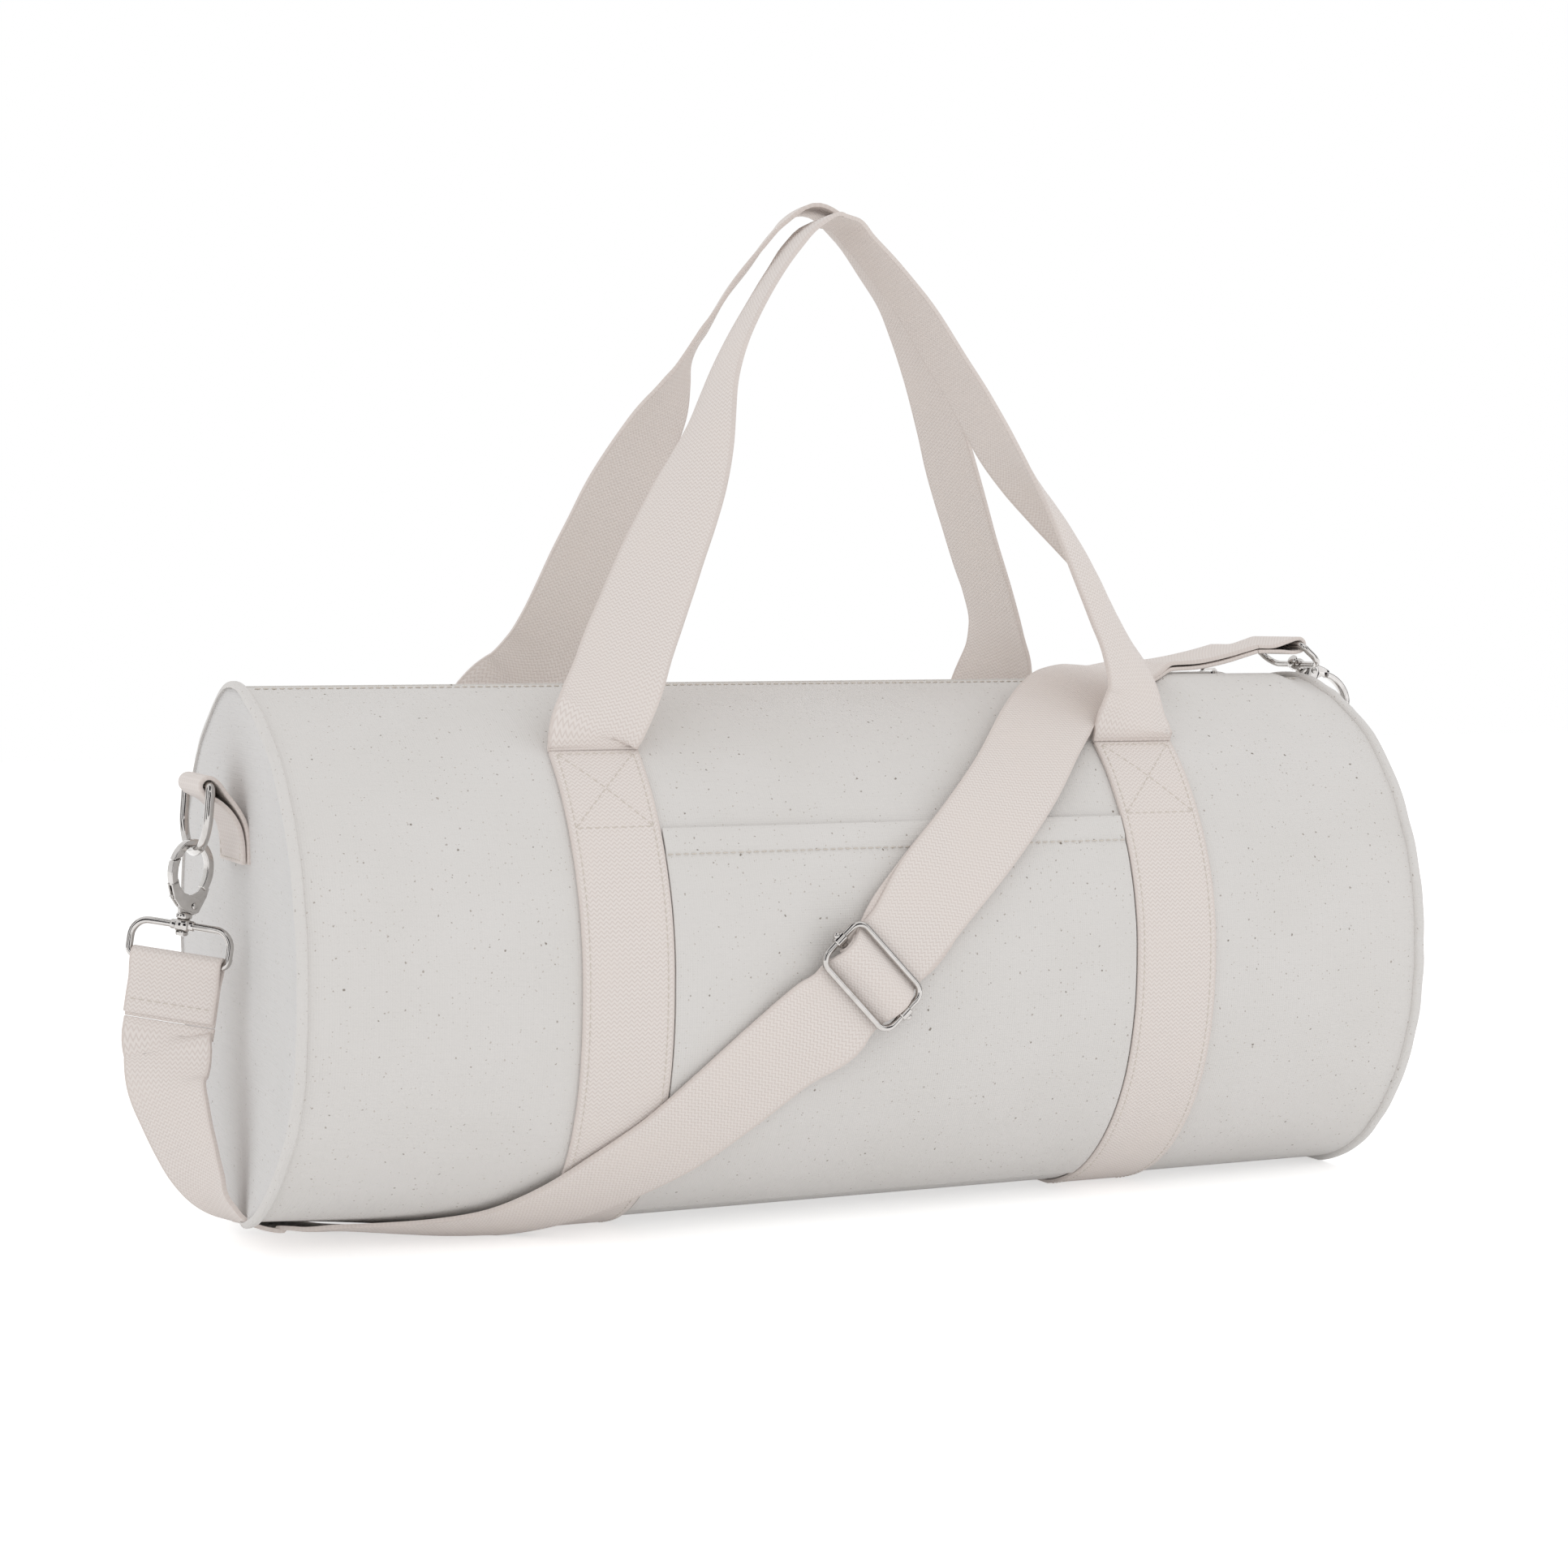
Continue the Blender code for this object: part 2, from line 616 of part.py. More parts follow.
def make_zip_slider():
    """A slider of two plates on a post, with a bridge on top, and the puller that hangs in it."""
    half_gap = COIL_HEIGHT / 2 + CLEARANCE
    plate_top = half_gap + SLIDER_PLATE
    base = empty("zip_slider_place", Matrix.Translation((slider_center(), 0, zip_level())))
    shape = rounded_rectangle(SLIDER_LENGTH, SLIDER_WIDTH, SLIDER_WIDTH / 4, 3)
    plates = []
    for z, suffix in ((half_gap, ""), (-plate_top, "_lower")):
        bm = bmesh.new()
        extruded(bm, shape, z, SLIDER_PLATE, "XY")
        plates.append(finish(f"zip_slider{suffix}", bm, NICKEL, base, Matrix()))
    post_x = SLIDER_LENGTH / 2 - SLIDER_PLATE / 2 - SLIDER_POST_LENGTH / 2
    post_size = (SLIDER_POST_LENGTH, SLIDER_POST_WIDTH, 2 * half_gap + SLIDER_PLATE)
    add_boolean(plates[0], block("zip_slider_post", post_size, base, (post_x, 0, 0)), "UNION")
    add_boolean(plates[0], plates[1], "UNION")
    top = plate_top + PULLER_BAR + 2 * PULLER_SLACK
    leg = BRIDGE_LENGTH / 2
    foot = plate_top - SLIDER_PLATE / 2
    outline = [(-leg, foot), (-leg, top), (-leg + BRIDGE_BAR, top + BRIDGE_BAR)]
    outline += [(leg - BRIDGE_BAR, top + BRIDGE_BAR), (leg, top), (leg, foot), (leg - BRIDGE_BAR, foot)]
    outline += [(leg - BRIDGE_BAR, top), (-leg + BRIDGE_BAR, top), (-leg + BRIDGE_BAR, foot)]
    arch = plate("zip_slider_bridge", outline, BRIDGE_WIDTH, NICKEL, base, Matrix())
    add_boolean(plates[0], arch, "UNION")

    hinge_z = plate_top + PULLER_SLACK + PULLER_BAR / 2
    hinge = empty("zip_puller_hinge", Matrix.Translation((0, 0, hinge_z)), base)
    shift = PULLER_BAR / 2 - PULLER_LENGTH / 2
    shape = rounded_rectangle(PULLER_LENGTH, PULLER_WIDTH, PULLER_WIDTH / 4, 3)
    bm = bmesh.new()
    extruded(bm, [(x + shift, y) for x, y in shape], -PULLER_THICKNESS / 2, PULLER_THICKNESS, "XY")
    puller = finish("zip_puller", bm, NICKEL, hinge, Matrix())
    window_size = (PULLER_WINDOW_LENGTH, BRIDGE_WIDTH + 2 * PULLER_SLACK, PULLER_WIDTH)
    window_x = -PULLER_BAR / 2 - PULLER_WINDOW_LENGTH / 2
    add_boolean(puller, block("zip_puller_window", window_size, hinge, (window_x, 0, 0)), "DIFFERENCE")


def directions(path, across):
    """Stations of webbing that keeps one way across it all along its path."""
    stations = []
    for index, point in enumerate(path):
        line = path[min(index + 1, len(path) - 1)] - path[max(index - 1, 0)]
        stations.append((point, across, line.cross(across).normalized()))
    return stations


def make_tab(side, name):
    """A strip of webbing folded round the ring's bar, its two layers sewn flat to the end panel."""
    panel = HALF_LENGTH - SEAM_WIDTH / 2 + CANVAS
    first = CLEARANCE + WEBBING / 2
    second = first + LAYER
    turn = RING_WIRE / 2 + LAYER_GAP + WEBBING / 2
    bar = HALF_LENGTH + RING_BAR_REACH - panel
    up, lift = RING_BAR_HEIGHT, TAB_BEND_HEIGHT
    points = [(first, TAB_FOOT_HEIGHT), (first, (TAB_FOOT_HEIGHT + lift) / 2), (first, lift)]
    points += [(first + turn / 4, up + turn / 2), (first + turn, up + turn)]
    points += [(bar + turn * c, up + turn * s) for c, s in arc((0, 0), (1, 1), 90, -90, 6)]
    points += [(second + turn, up - turn), (second + turn / 5, lift - turn)]
    points += [(second, lift - 2 * turn), (second, (TAB_FOOT_HEIGHT + lift) / 2 - turn)]
    points += [(second, TAB_FOOT_HEIGHT)]
    path = [Vector((side * (panel + out), 0, height)) for out, height in smooth_path(points, 2)]
    ribbon(f"tab_{name}", directions(path, Y_AXIS), COTTON_WEBBING)


def ring_points():
    """The D-ring's middle line: its straight bar on top and its round end hanging below."""
    half = (RING_INNER_WIDTH + RING_WIRE) / 2
    drop = RING_INNER_HEIGHT + RING_WIRE
    waist = drop * RING_WAIST_SHARE
    corner = RING_CORNER
    points = arc((half - corner, -corner), (corner, corner), 0, 90, 4)
    points += arc((-half + corner, -corner), (corner, corner), 90, 180, 4)
    points += arc((0, -waist), (half, drop - waist), 180, 360, 16)
    return [(0, y, z) for y, z in points]


def lean(side, degrees):
    """The way down a hanging piece that leans outward from the bag by an angle."""
    a = math.radians(degrees)
    return Vector((side * math.sin(a), 0, -math.cos(a)))


def axes(origin, x_axis, z_axis):
    """A place whose Z runs along z_axis and whose X is as near to x_axis as it can be."""
    z = z_axis.normalized()
    x = (x_axis - z * x_axis.dot(z)).normalized()
    y = z.cross(x)
    place = Matrix((x, y, z)).transposed().to_4x4()
    place.translation = origin
    return place


def wire_seat():
    """How far the ring's wire lies above the collar when it hangs in the top of the hook's eye."""
    return HOOK_EYE_TOP - CLEARANCE - RING_WIRE / 2


def eye_arc(offset, start, end, steps):
    """Part of the hook's oval, offset from the middle line of its arm."""
    middle = (HOOK_EYE_TOP + HOOK_EYE_BOTTOM) / 2
    across = (HOOK_WIDTH - HOOK_ARM) / 2 + offset
    up = (HOOK_EYE_TOP - HOOK_EYE_BOTTOM) / 2 + HOOK_ARM / 2 + offset
    return arc((0, middle), (across, up), start, end, steps)


def arm_outline(start, end, steps):
    """The outline of a stretch of the hook's oval arm, whose end leans so that the gate swings by."""
    inner = eye_arc(-HOOK_ARM / 2, end - GATE_JOINT_LEAN, start, steps)
    return eye_arc(HOOK_ARM / 2, start, end, steps) + inner


# The flat web inside the gate, as shares of the hook's half width and of its eye's bottom height.
WEB_SHARES = (
    (-0.28, 0.33),
    (0.28, 0.33),
    (0.62, 0.45),
    (0.76, 0.72),
    (0.90, 1.00),
    (0.97, 1.28),
    (0.66, 1.42),
    (0.46, 1.15),
    (0.16, 1.01),
    (-0.24, 0.96),
    (-0.34, 0.62),
)
# The gate's two cheeks, in the same shares: along the eye, then back along the outside.
CHEEK_SHARES = ((-0.62, 1.50), (-0.50, 1.26), (-0.24, 1.06), (0.14, 0.99), (0.44, 0.93))
CHEEK_BACK_SHARES = ((0.00, 0.46), (-0.34, 0.57), (-0.68, 0.84), (-0.92, 1.30))


def shares_to_points(shares):
    half = HOOK_WIDTH / 2
    return [(x * half, z * HOOK_EYE_BOTTOM) for x, z in shares]


def pivot_bore(name, base):
    """The hole that the gate's rivet passes through."""
    radius = PIVOT_RADIUS + CLEARANCE
    place = Matrix.Translation((PIVOT_ACROSS, 0, PIVOT_HEIGHT)) @ Matrix.Rotation(math.radians(90), 4, "X")
    return turned(name, [(radius, -HOOK_DEPTH), (radius, HOOK_DEPTH)], NICKEL, base, place, steps=12)


def make_hook(name, seat):
    """A swivel snap hook in its own frame: X across the eye, Y through it, Z up from the collar."""
    foot = COLLAR_HEIGHT / 2 + CLEARANCE
    base = empty(f"hook_{name}_collar", Matrix.Translation((0, 0, -wire_seat())), seat)
    neck_top = foot + HOOK_NECK_LENGTH
    profile = [(HOOK_HEAD_RADIUS * 0.7, -foot - HOOK_HEAD_LENGTH)]
    profile += [(HOOK_HEAD_RADIUS, -foot - HOOK_HEAD_LENGTH / 2), (HOOK_HEAD_RADIUS, -foot)]
    profile += [(HOOK_STEM_RADIUS, -foot), (HOOK_STEM_RADIUS, foot), (HOOK_NECK_RADIUS, foot)]
    profile += [(HOOK_NECK_RADIUS, neck_top - HOOK_NECK_LENGTH / 3), (HOOK_NECK_RADIUS * 0.75, neck_top)]
    hook = turned(f"hook_{name}", profile, NICKEL, base, Matrix())
    web = plate(f"hook_{name}_web", shares_to_points(WEB_SHARES), HOOK_WEB, NICKEL, base, Matrix())
    outline = arm_outline(-38, GATE_JOINT_ANGLE, 24)
    arm = plate(f"hook_{name}_arm", outline, HOOK_DEPTH, NICKEL, base, Matrix())
    add_boolean(hook, web, "UNION")
    add_boolean(hook, arm, "UNION")
    add_boolean(hook, pivot_bore(f"hook_{name}_bore", base), "DIFFERENCE")
    return base


def make_gate(name, base):
    """The sprung gate: an arm that closes the eye, and two cheeks that straddle the web at the rivet."""
    pivot = Matrix.Translation((PIVOT_ACROSS, 0, PIVOT_HEIGHT))
    hinge = empty(f"gate_{name}_hinge", pivot, base)
    back = pivot.inverted()
    joint = math.degrees(CLEARANCE / (HOOK_WIDTH / 2))
    outline = arm_outline(GATE_FOOT_ANGLE, GATE_JOINT_ANGLE + joint, 8)
    gate = plate(f"gate_{name}", outline, HOOK_DEPTH, NICKEL, hinge, back)
    boss = arc((PIVOT_ACROSS, PIVOT_HEIGHT), (PIVOT_BOSS_RADIUS, PIVOT_BOSS_RADIUS), 45, -125, 8)
    cheeks = shares_to_points(CHEEK_SHARES) + boss + shares_to_points(CHEEK_BACK_SHARES)
    sides = plate(f"gate_{name}_cheeks", cheeks, HOOK_DEPTH, NICKEL, hinge, back)
    add_boolean(gate, sides, "UNION")
    half = HOOK_WIDTH / 2
    left = -half + GATE_WALL + CLEARANCE
    top = 1.36 * HOOK_EYE_BOTTOM
    outline = [(left, top), (left, HOOK_EYE_BOTTOM), (left + half / 2, -HOOK_EYE_BOTTOM / 4)]
    outline += [(2 * half, -HOOK_EYE_BOTTOM / 4), (2 * half, top)]
    slot = plate(f"gate_{name}_slot", outline, HOOK_WEB + 2 * CLEARANCE, NICKEL, hinge, back)
    add_boolean(gate, slot, "DIFFERENCE")
    add_boolean(gate, pivot_bore(f"gate_{name}_bore", base), "DIFFERENCE")

    half_pin = HOOK_DEPTH / 2 + CLEARANCE
    profile = [(PIVOT_HEAD_RADIUS, -half_pin - PIVOT_HEAD), (PIVOT_HEAD_RADIUS, -half_pin)]
    profile += [(PIVOT_RADIUS, -half_pin), (PIVOT_RADIUS, half_pin), (PIVOT_HEAD_RADIUS, half_pin)]
    profile += [(PIVOT_HEAD_RADIUS, half_pin + PIVOT_HEAD)]
    turn = pivot @ Matrix.Rotation(math.radians(90), 4, "X")
    turned(f"gate_rivet_{name}", profile, NICKEL, base, turn, steps=12)

    wall = left + CLEARANCE + SPRING_WIRE / 2
    web_left = shares_to_points(WEB_SHARES)[-2][0] - CLEARANCE - SPRING_WIRE / 2
    steps = 8
    count = SPRING_TURNS * steps
    height = HOOK_EYE_BOTTOM * 0.88
    points = []
    for i in range(count + 1):
        a = math.tau * i / steps
        across = wall + (web_left - wall) * i / count
        points.append((across, SPRING_RADIUS * math.cos(a), height + SPRING_RADIUS * math.sin(a)))
    wire(f"gate_spring_{name}", points, SPRING_WIRE, NICKEL, base, Matrix(), cyclic=False, sides=5)


def make_loop(name, place):
    """The wire loop that the strap is sewn round, with the collar that the hook's stem turns in."""
    turn = empty(f"loop_{name}_swivel", place)
    width = LOOP_INNER_WIDTH + LOOP_WIRE
    points = [(x, 0, z - LOOP_DROP / 2) for x, z in rounded_rectangle(width, LOOP_DROP, LOOP_CORNER)]
    loop = wire(f"loop_{name}", points, LOOP_WIRE, NICKEL, turn, Matrix())
    bm = bmesh.new()
    half = COLLAR_LENGTH / 2
    shoulder = half * 0.55
    lobe = LOOP_WIRE / 2 + CLEARANCE
    rings = []
    for x, radius in ((-half, lobe), (-shoulder, COLLAR_RADIUS), (shoulder, COLLAR_RADIUS), (half, lobe)):
        circle = arc((0, 0), (radius, min(radius, COLLAR_HEIGHT / 2)), 22.5, 337.5, 7)
        rings.append([bm.verts.new((x, y, z)) for y, z in circle])
    bridge(bm, rings)
    add_boolean(loop, finish(f"loop_{name}_collar", bm, NICKEL, turn, Matrix()), "UNION")
    radius = HOOK_STEM_RADIUS + CLEARANCE
    profile = [(radius, -COLLAR_HEIGHT), (radius, COLLAR_HEIGHT)]
    add_boolean(loop, turned(f"loop_{name}_bore", profile, NICKEL, turn, Matrix()), "DIFFERENCE")


def chain_places(side, ring_lean, hook_lean, hook_turn, loop_turn):
    """The frames of a ring, its hook and its loop, from the tab down to the strap."""
    bar = Vector((side * (HALF_LENGTH + RING_BAR_REACH), 0, RING_BAR_HEIGHT))
    ring_down = lean(side, ring_lean)
    ring = axes(bar, Vector((-side * ring_down.z, 0, side * ring_down.x)), -ring_down)
    seat = bar + ring_down * (RING_INNER_HEIGHT + RING_WIRE)
    hook_down = lean(side, hook_lean)
    inward = Vector((-side * math.cos(math.radians(hook_lean)), 0, -math.sin(math.radians(hook_lean))))
    hook = axes(seat, inward, -hook_down)
    hook = hook @ Matrix.Rotation(math.radians(hook_turn), 4, "Z")
    collar = seat + hook_down * wire_seat()
    width = Vector((math.cos(math.radians(loop_turn)), -math.sin(math.radians(loop_turn)), 0))
    return ring, hook, axes(collar, width, -hook_down)


def make_chain(side, name, ring_lean, hook_lean, hook_turn, loop_turn):
    """The ring, the snap hook and the loop at one end of the bag."""
    ring_place, hook_place, loop_place = chain_places(side, ring_lean, hook_lean, hook_turn, loop_turn)
    bar = empty(f"ring_{name}_hinge", ring_place)
    wire(f"ring_{name}", ring_points(), RING_WIRE, NICKEL, bar, Matrix())
    seat = empty(f"hook_{name}_hinge", hook_place)
    base = make_hook(name, seat)
    make_gate(name, base)
    make_loop(name, loop_place)
    return loop_place


def adjuster_place():
    """The adjuster's frame on the front of the bag: X across the strap, Y along it and Z outward."""
    climb = math.radians(STRAP_CLIMB)
    along = Vector((math.cos(climb), 0, math.sin(climb)))
    lift = STRAP_LIFT + LAYER + WEBBING / 2 + CLEARANCE + ADJUSTER_WIRE / 2
    place = Matrix((along.cross(-Y_AXIS), along, -Y_AXIS)).transposed().to_4x4()
    place.translation = on_barrel(ADJUSTER_X, 0, lift)
    return place, lift


def make_adjuster():
    """The sliding wire frame on the strap, and the bar across it that the strap's end is sewn round."""
    base = empty("adjuster_slide", adjuster_place()[0])
    length, width = ADJUSTER_LENGTH - ADJUSTER_WIRE, ADJUSTER_WIDTH - ADJUSTER_WIRE
    points = [(x, y, 0) for x, y in rounded_rectangle(length, width, ADJUSTER_CORNER)]
    wire("adjuster_frame", points, ADJUSTER_WIRE, NICKEL, base, Matrix())
    inner = ADJUSTER_WIRE / 2 + CLEARANCE
    rest = inner + ADJUSTER_COLLAR
    span = length / 2 - inner - ADJUSTER_COLLAR / 2
    profile = [(ADJUSTER_BAR / 2, -span), (ADJUSTER_BAR / 2, span)]
    lay = Matrix.Rotation(math.radians(90), 4, "Y")
    bar = turned("adjuster_bar", profile, NICKEL, base, lay, steps=12)
    half = ADJUSTER_COLLAR_LENGTH / 2
    upright = Matrix.Rotation(math.radians(90), 4, "X")
    for end, suffix in ((-1, "left"), (1, "right")):
        place = Matrix.Translation((end * length / 2, 0, 0)) @ upright
        ball = [(rest - ADJUSTER_COLLAR / 3, -half), (rest, -half / 2), (rest, half / 2)]
        ball += [(rest - ADJUSTER_COLLAR / 3, half)]
        add_boolean(bar, turned(f"adjuster_collar_{suffix}", ball, NICKEL, base, place), "UNION")
        hole = [(inner, -2 * half), (inner, 2 * half)]
        add_boolean(bar, turned(f"adjuster_bore_{suffix}", hole, NICKEL, base, place), "DIFFERENCE")


def knot(point, out, lift=0.0, hug=0.0, width_share=1.0):
    """A place on the strap: its middle, the way out of its face, its lift and how far it hugs."""
    return (*point, *out, lift, hug, width_share)


def hugging(table, lift):
    """Knots that lie on the barrel, from shares of its half length and angles on it."""
    made = []
    for share, degrees in table:
        x = share * HALF_LENGTH
        made.append(knot(on_barrel(x, degrees, lift), outward(x, degrees), lift, 1.0))
    return made


def strap_grids(knots, steps=3):
    """The outer and inner faces of webbing that bends to the barrel where it hugs it."""
    rows = smooth_path(knots, steps)
    outer, inner = [], []
    for index, row in enumerate(rows):
        point, out = Vector(row[:3]), Vector(row[3:6])
        before, after = rows[max(index - 1, 0)], rows[min(index + 1, len(rows) - 1)]
        line = (Vector(after[:3]) - Vector(before[:3])).normalized()
        face = (out - line * out.dot(line)).normalized()
        across = line.cross(face)
        hug = min(max(row[7], 0.0), 1.0)
        faces = ([], [])
        for column in range(STRAP_COLUMNS + 1):
            reach = (column / STRAP_COLUMNS - 0.5) * WEBBING_WIDTH * row[8]
            flat = point + across * reach
            degrees = angle_of(flat)
            for which, sign, floor in ((0, 1, 0.0), (1, -1, WEBBING)):
                laid = on_barrel(flat.x, degrees, row[6] + sign * WEBBING / 2, floor)
                free = flat + face * (sign * WEBBING / 2)
                faces[which].append(free.lerp(laid, hug))
        outer.append(faces[0])
        inner.append(faces[1])
    return outer, inner


# The strap's middle line from the left fold down and under the bag's left end: shares of the bag's
# half length, its half width and its top height, and the way out of the webbing's face.
HANGING_SHARES = (
    (-1.120, -0.015, 0.345, (-0.60, -0.79, -0.10)),
    (-1.124, -0.032, 0.291, (-0.80, -0.58, -0.10)),
    (-1.118, -0.058, 0.237, (-0.92, -0.36, -0.14)),
    (-1.112, -0.082, 0.188, (-0.95, -0.20, -0.20)),
    (-1.102, -0.106, 0.141, (-0.94, -0.06, -0.32)),
    (-1.086, -0.136, 0.098, (-0.84, 0.00, -0.54)),
    (-1.060, -0.180, 0.063, (-0.62, 0.00, -0.78)),
    (-1.020, -0.240, 0.040, (-0.34, -0.08, -0.94)),
    (-0.980, -0.290, 0.033, (-0.14, -0.20, -0.97)),
)
# From there it climbs the barrel to the adjuster: shares of the half length, and angles on it.
CLIMB_SHARES = (
    (-0.930, -71.5),
    (-0.860, -70.8),
    (-0.790, -69.5),
    (-0.715, -66.0),
    (-0.640, -61.0),
    (-0.560, -53.0),
    (-0.480, -44.0),
    (-0.410, -37.0),
    (-0.332, -28.0),
    (-0.240, -18.0),
)
# Past the adjuster it climbs on and turns to run along the top, over the right end.
ABOVE_SHARES = (
    (0.036, 15.0),
    (0.126, 26.0),
    (0.222, 38.6),
    (0.319, 53.4),
    (0.402, 65.0),
    (0.478, 74.2),
    (0.556, 80.6),
)
# The run over the zip's slider to the right loop: shares of the half length, the way to the front
# as a share of the half width, and the lower layer's height as a share of the top height.
CREST_SHARES = (
    (0.660, -0.045, 1.0175),
    (0.740, -0.020, 1.0240),
    (0.810, -0.006, 1.0380),
)
# The webbing's way through the adjuster, in shares of half the adjuster's width: along the strap,
# and out from the level of the bar. First the length that passes through, then the sewn end.
THROUGH_SHARES = (
    (-1.85, -0.24),
    (-1.40, -0.23),
    (-1.00, -0.23),
    (-0.76, -0.14),
    (-0.56, 0.07),
    (-0.30, 0.32),
    (0.00, 0.42),
    (0.30, 0.33),
    (0.58, 0.09),
    (0.78, -0.14),
    (1.00, -0.23),
    (1.40, -0.23),
)
SEWN_SHARES = (
    (1.40, -0.42),
    (1.00, -0.42),
    (0.62, -0.37),
    (0.30, -0.27),
)


def sewn_turn(place):
    """The sewn end's turn round the adjuster's bar and its short tail, as rows of the two faces."""
    radius = ADJUSTER_BAR / 2 + CLEARANCE + WEBBING / 2
    tail = radius * 2.6
    points = [(radius * c, radius * s) for c, s in arc((0, 0), (1, 1), -90, -270, 6)]
    points += [(tail * 0.45, radius * 0.80), (tail, -radius * 0.45)]
    path = [Vector((0, y, z)) for y, z in points]
    outer, inner = [], []
    for point, _, face in directions(path, X_AXIS):
        faces = ([], [])
        for column in range(STRAP_COLUMNS + 1):
            reach = (0.5 - column / STRAP_COLUMNS) * WEBBING_WIDTH * STRAP_NECK_SHARE
            for which, sign in ((0, 1), (1, -1)):
                faces[which].append(place @ (point + X_AXIS * reach + face * (sign * WEBBING / 2)))
        outer.append(faces[0])
        inner.append(faces[1])
    return outer, inner


def strap_cut(right):
    """Where the lower layer of the strap meets the fold round the right loop."""
    bar = right @ Vector((0, 0, -LOOP_DROP))
    return Vector((bar.x - FOLD_LENGTH, 0, bar.z - LOOP_TURN))


def crest_knots(lift):
    """The strap's way over the top of the bag's right end, lift above its lower layer."""
    made = []
    for x, y, z in CREST_SHARES:
        point = Vector((x * HALF_LENGTH, y * HALF_WIDTH, z * TOP_HEIGHT + lift))
        made.append(knot(point, Z_AXIS))
    return made


def make_folds(left, right):
    """The strap's two sewn folds, each round the far bar of a loop."""
    knee = 2.6 * LOOP_TURN
    layer = LAYER / 2
    points = [(-layer, -FOLD_LENGTH), (-layer, -(FOLD_LENGTH + knee) / 2), (-layer, -knee)]
    points += [(-LOOP_TURN * 0.85, -LOOP_TURN * 1.15)]
    points += [(-LOOP_TURN * c, LOOP_TURN * s) for c, s in arc((0, 0), (1, 1), -20, 200, 8)]
    points += [(LOOP_TURN * 0.85, -LOOP_TURN * 1.15)]
    points += [(layer, -knee), (layer, -(FOLD_LENGTH + knee) / 2), (layer, -FOLD_LENGTH - WEBBING)]
    path = [Vector((0, y, z - LOOP_DROP)) for y, z in smooth_path(points, 2)]
    twist = empty("strap_end_left_twist", left)
    ribbon("strap_end_left", directions(path, X_AXIS), COTTON_WEBBING, twist, Matrix())

    bar = right @ Vector((0, 0, -LOOP_DROP))
    low = bar.z - LOOP_TURN
    end = bar.x - FOLD_LENGTH + WEBBING / 2
    points = [(end, low + LAYER), (bar.x - FOLD_LENGTH * 0.6, low + LAYER)]
    points += [(bar.x - FOLD_LENGTH * 0.28, bar.z + LOOP_TURN * 0.45)]
    points += [(bar.x - LOOP_TURN * s, bar.z + LOOP_TURN * c) for c, s in arc((0, 0), (1, 1), 15, -170, 7)]
    points += [(bar.x - FOLD_LENGTH * 0.45, low), (end, low)]
    inverse = right.inverted()
    path = [inverse @ Vector((x, 0, z)) for x, z in smooth_path(points, 2)]
    twist = empty("strap_end_right_twist", right)
    ribbon("strap_end_right", directions(path, X_AXIS), COTTON_WEBBING, twist, Matrix())


def make_strap(left, right):
    """The length of strap that passes through the adjuster from one fold to the other, and the
    length that comes back beneath it to the adjuster's bar."""
    start = left @ Vector((0, LAYER / 2, -LOOP_DROP - FOLD_LENGTH - WEBBING - CLEARANCE))
    turned_to = left.to_3x3()
    face, down = turned_to @ -Y_AXIS, turned_to @ -Z_AXIS
    knots = [knot(start + down * reach, face) for reach in (0.0, WEBBING, FOLD_LENGTH / 4)]
    for x, y, z, out in HANGING_SHARES:
        point = Vector((x * HALF_LENGTH, y * HALF_WIDTH, z * TOP_HEIGHT))
        knots.append(knot(point, Vector(out).normalized()))
    knots += hugging(CLIMB_SHARES, STRAP_LIFT)
    place, level = adjuster_place()
    half = (ADJUSTER_WIDTH - ADJUSTER_WIRE) / 2
    for along, up in THROUGH_SHARES:
        share = 1.0 if abs(along) > 1.5 else STRAP_NECK_SHARE
        point = place @ Vector((0, along * half, up * half))
        knots.append(knot(point, -Y_AXIS, level + up * half, 0.0, share))
    knots += hugging(ABOVE_SHARES, STRAP_LIFT + LAYER)
    cut = strap_cut(right)
    knots += crest_knots(LAYER + CLEARANCE) + [knot(cut + Z_AXIS * LAYER, Z_AXIS)]
    outer, inner = strap_grids(knots)
    slab("strap_webbing", outer, inner, COTTON_WEBBING)

    knots = [knot(cut, Z_AXIS)] + crest_knots(0.0)[::-1] + hugging(ABOVE_SHARES, STRAP_LIFT)[::-1]
    for along, up in SEWN_SHARES:
        share = 1.0 if along > 1 else STRAP_NECK_SHARE
        point = place @ Vector((0, along * half, up * half))
        knots.append(knot(point, -Y_AXIS, level + up * half, 0.0, share))
    outer, inner = strap_grids(knots)
    tail_outer, tail_inner = sewn_turn(place)
    slab("strap_return", outer + tail_outer, inner + tail_inner, COTTON_WEBBING)


def main():
    make_body_panel()
    for side, name in ((-1, "left"), (1, "right")):
        make_end(side, name)
        make_band(side, name)
        make_tab(side, name)
    make_pocket()
    make_zip()
    make_zip_slider()
    make_handle(-1, "front", FRONT_HANDLE_SHARES)
    make_handle(1, "back", BACK_HANDLE_SHARES)
    left = make_chain(-1, "left", LEFT_RING_LEAN, LEFT_HOOK_LEAN, LEFT_HOOK_TURN, LEFT_LOOP_TURN)
    right = make_chain(1, "right", RIGHT_RING_LEAN, RIGHT_HOOK_LEAN, 0.0, 90.0)
    make_adjuster()
    make_folds(left, right)
    make_strap(left, right)


main()
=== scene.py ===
# %% [markdown]
# # A canvas gym bag
# The bag is a barrel of natural cotton canvas with webbing handles, a zip, and a shoulder strap on
# two snap hooks. Its plain solids are loaded first. Every soft piece is then made again here, finer
# and softer, in the place of its solid, and each metal piece gets its round edges and its shine.

# %% Load the solids
import math

import bmesh
import bpy
from mathutils import Matrix, Vector, noise


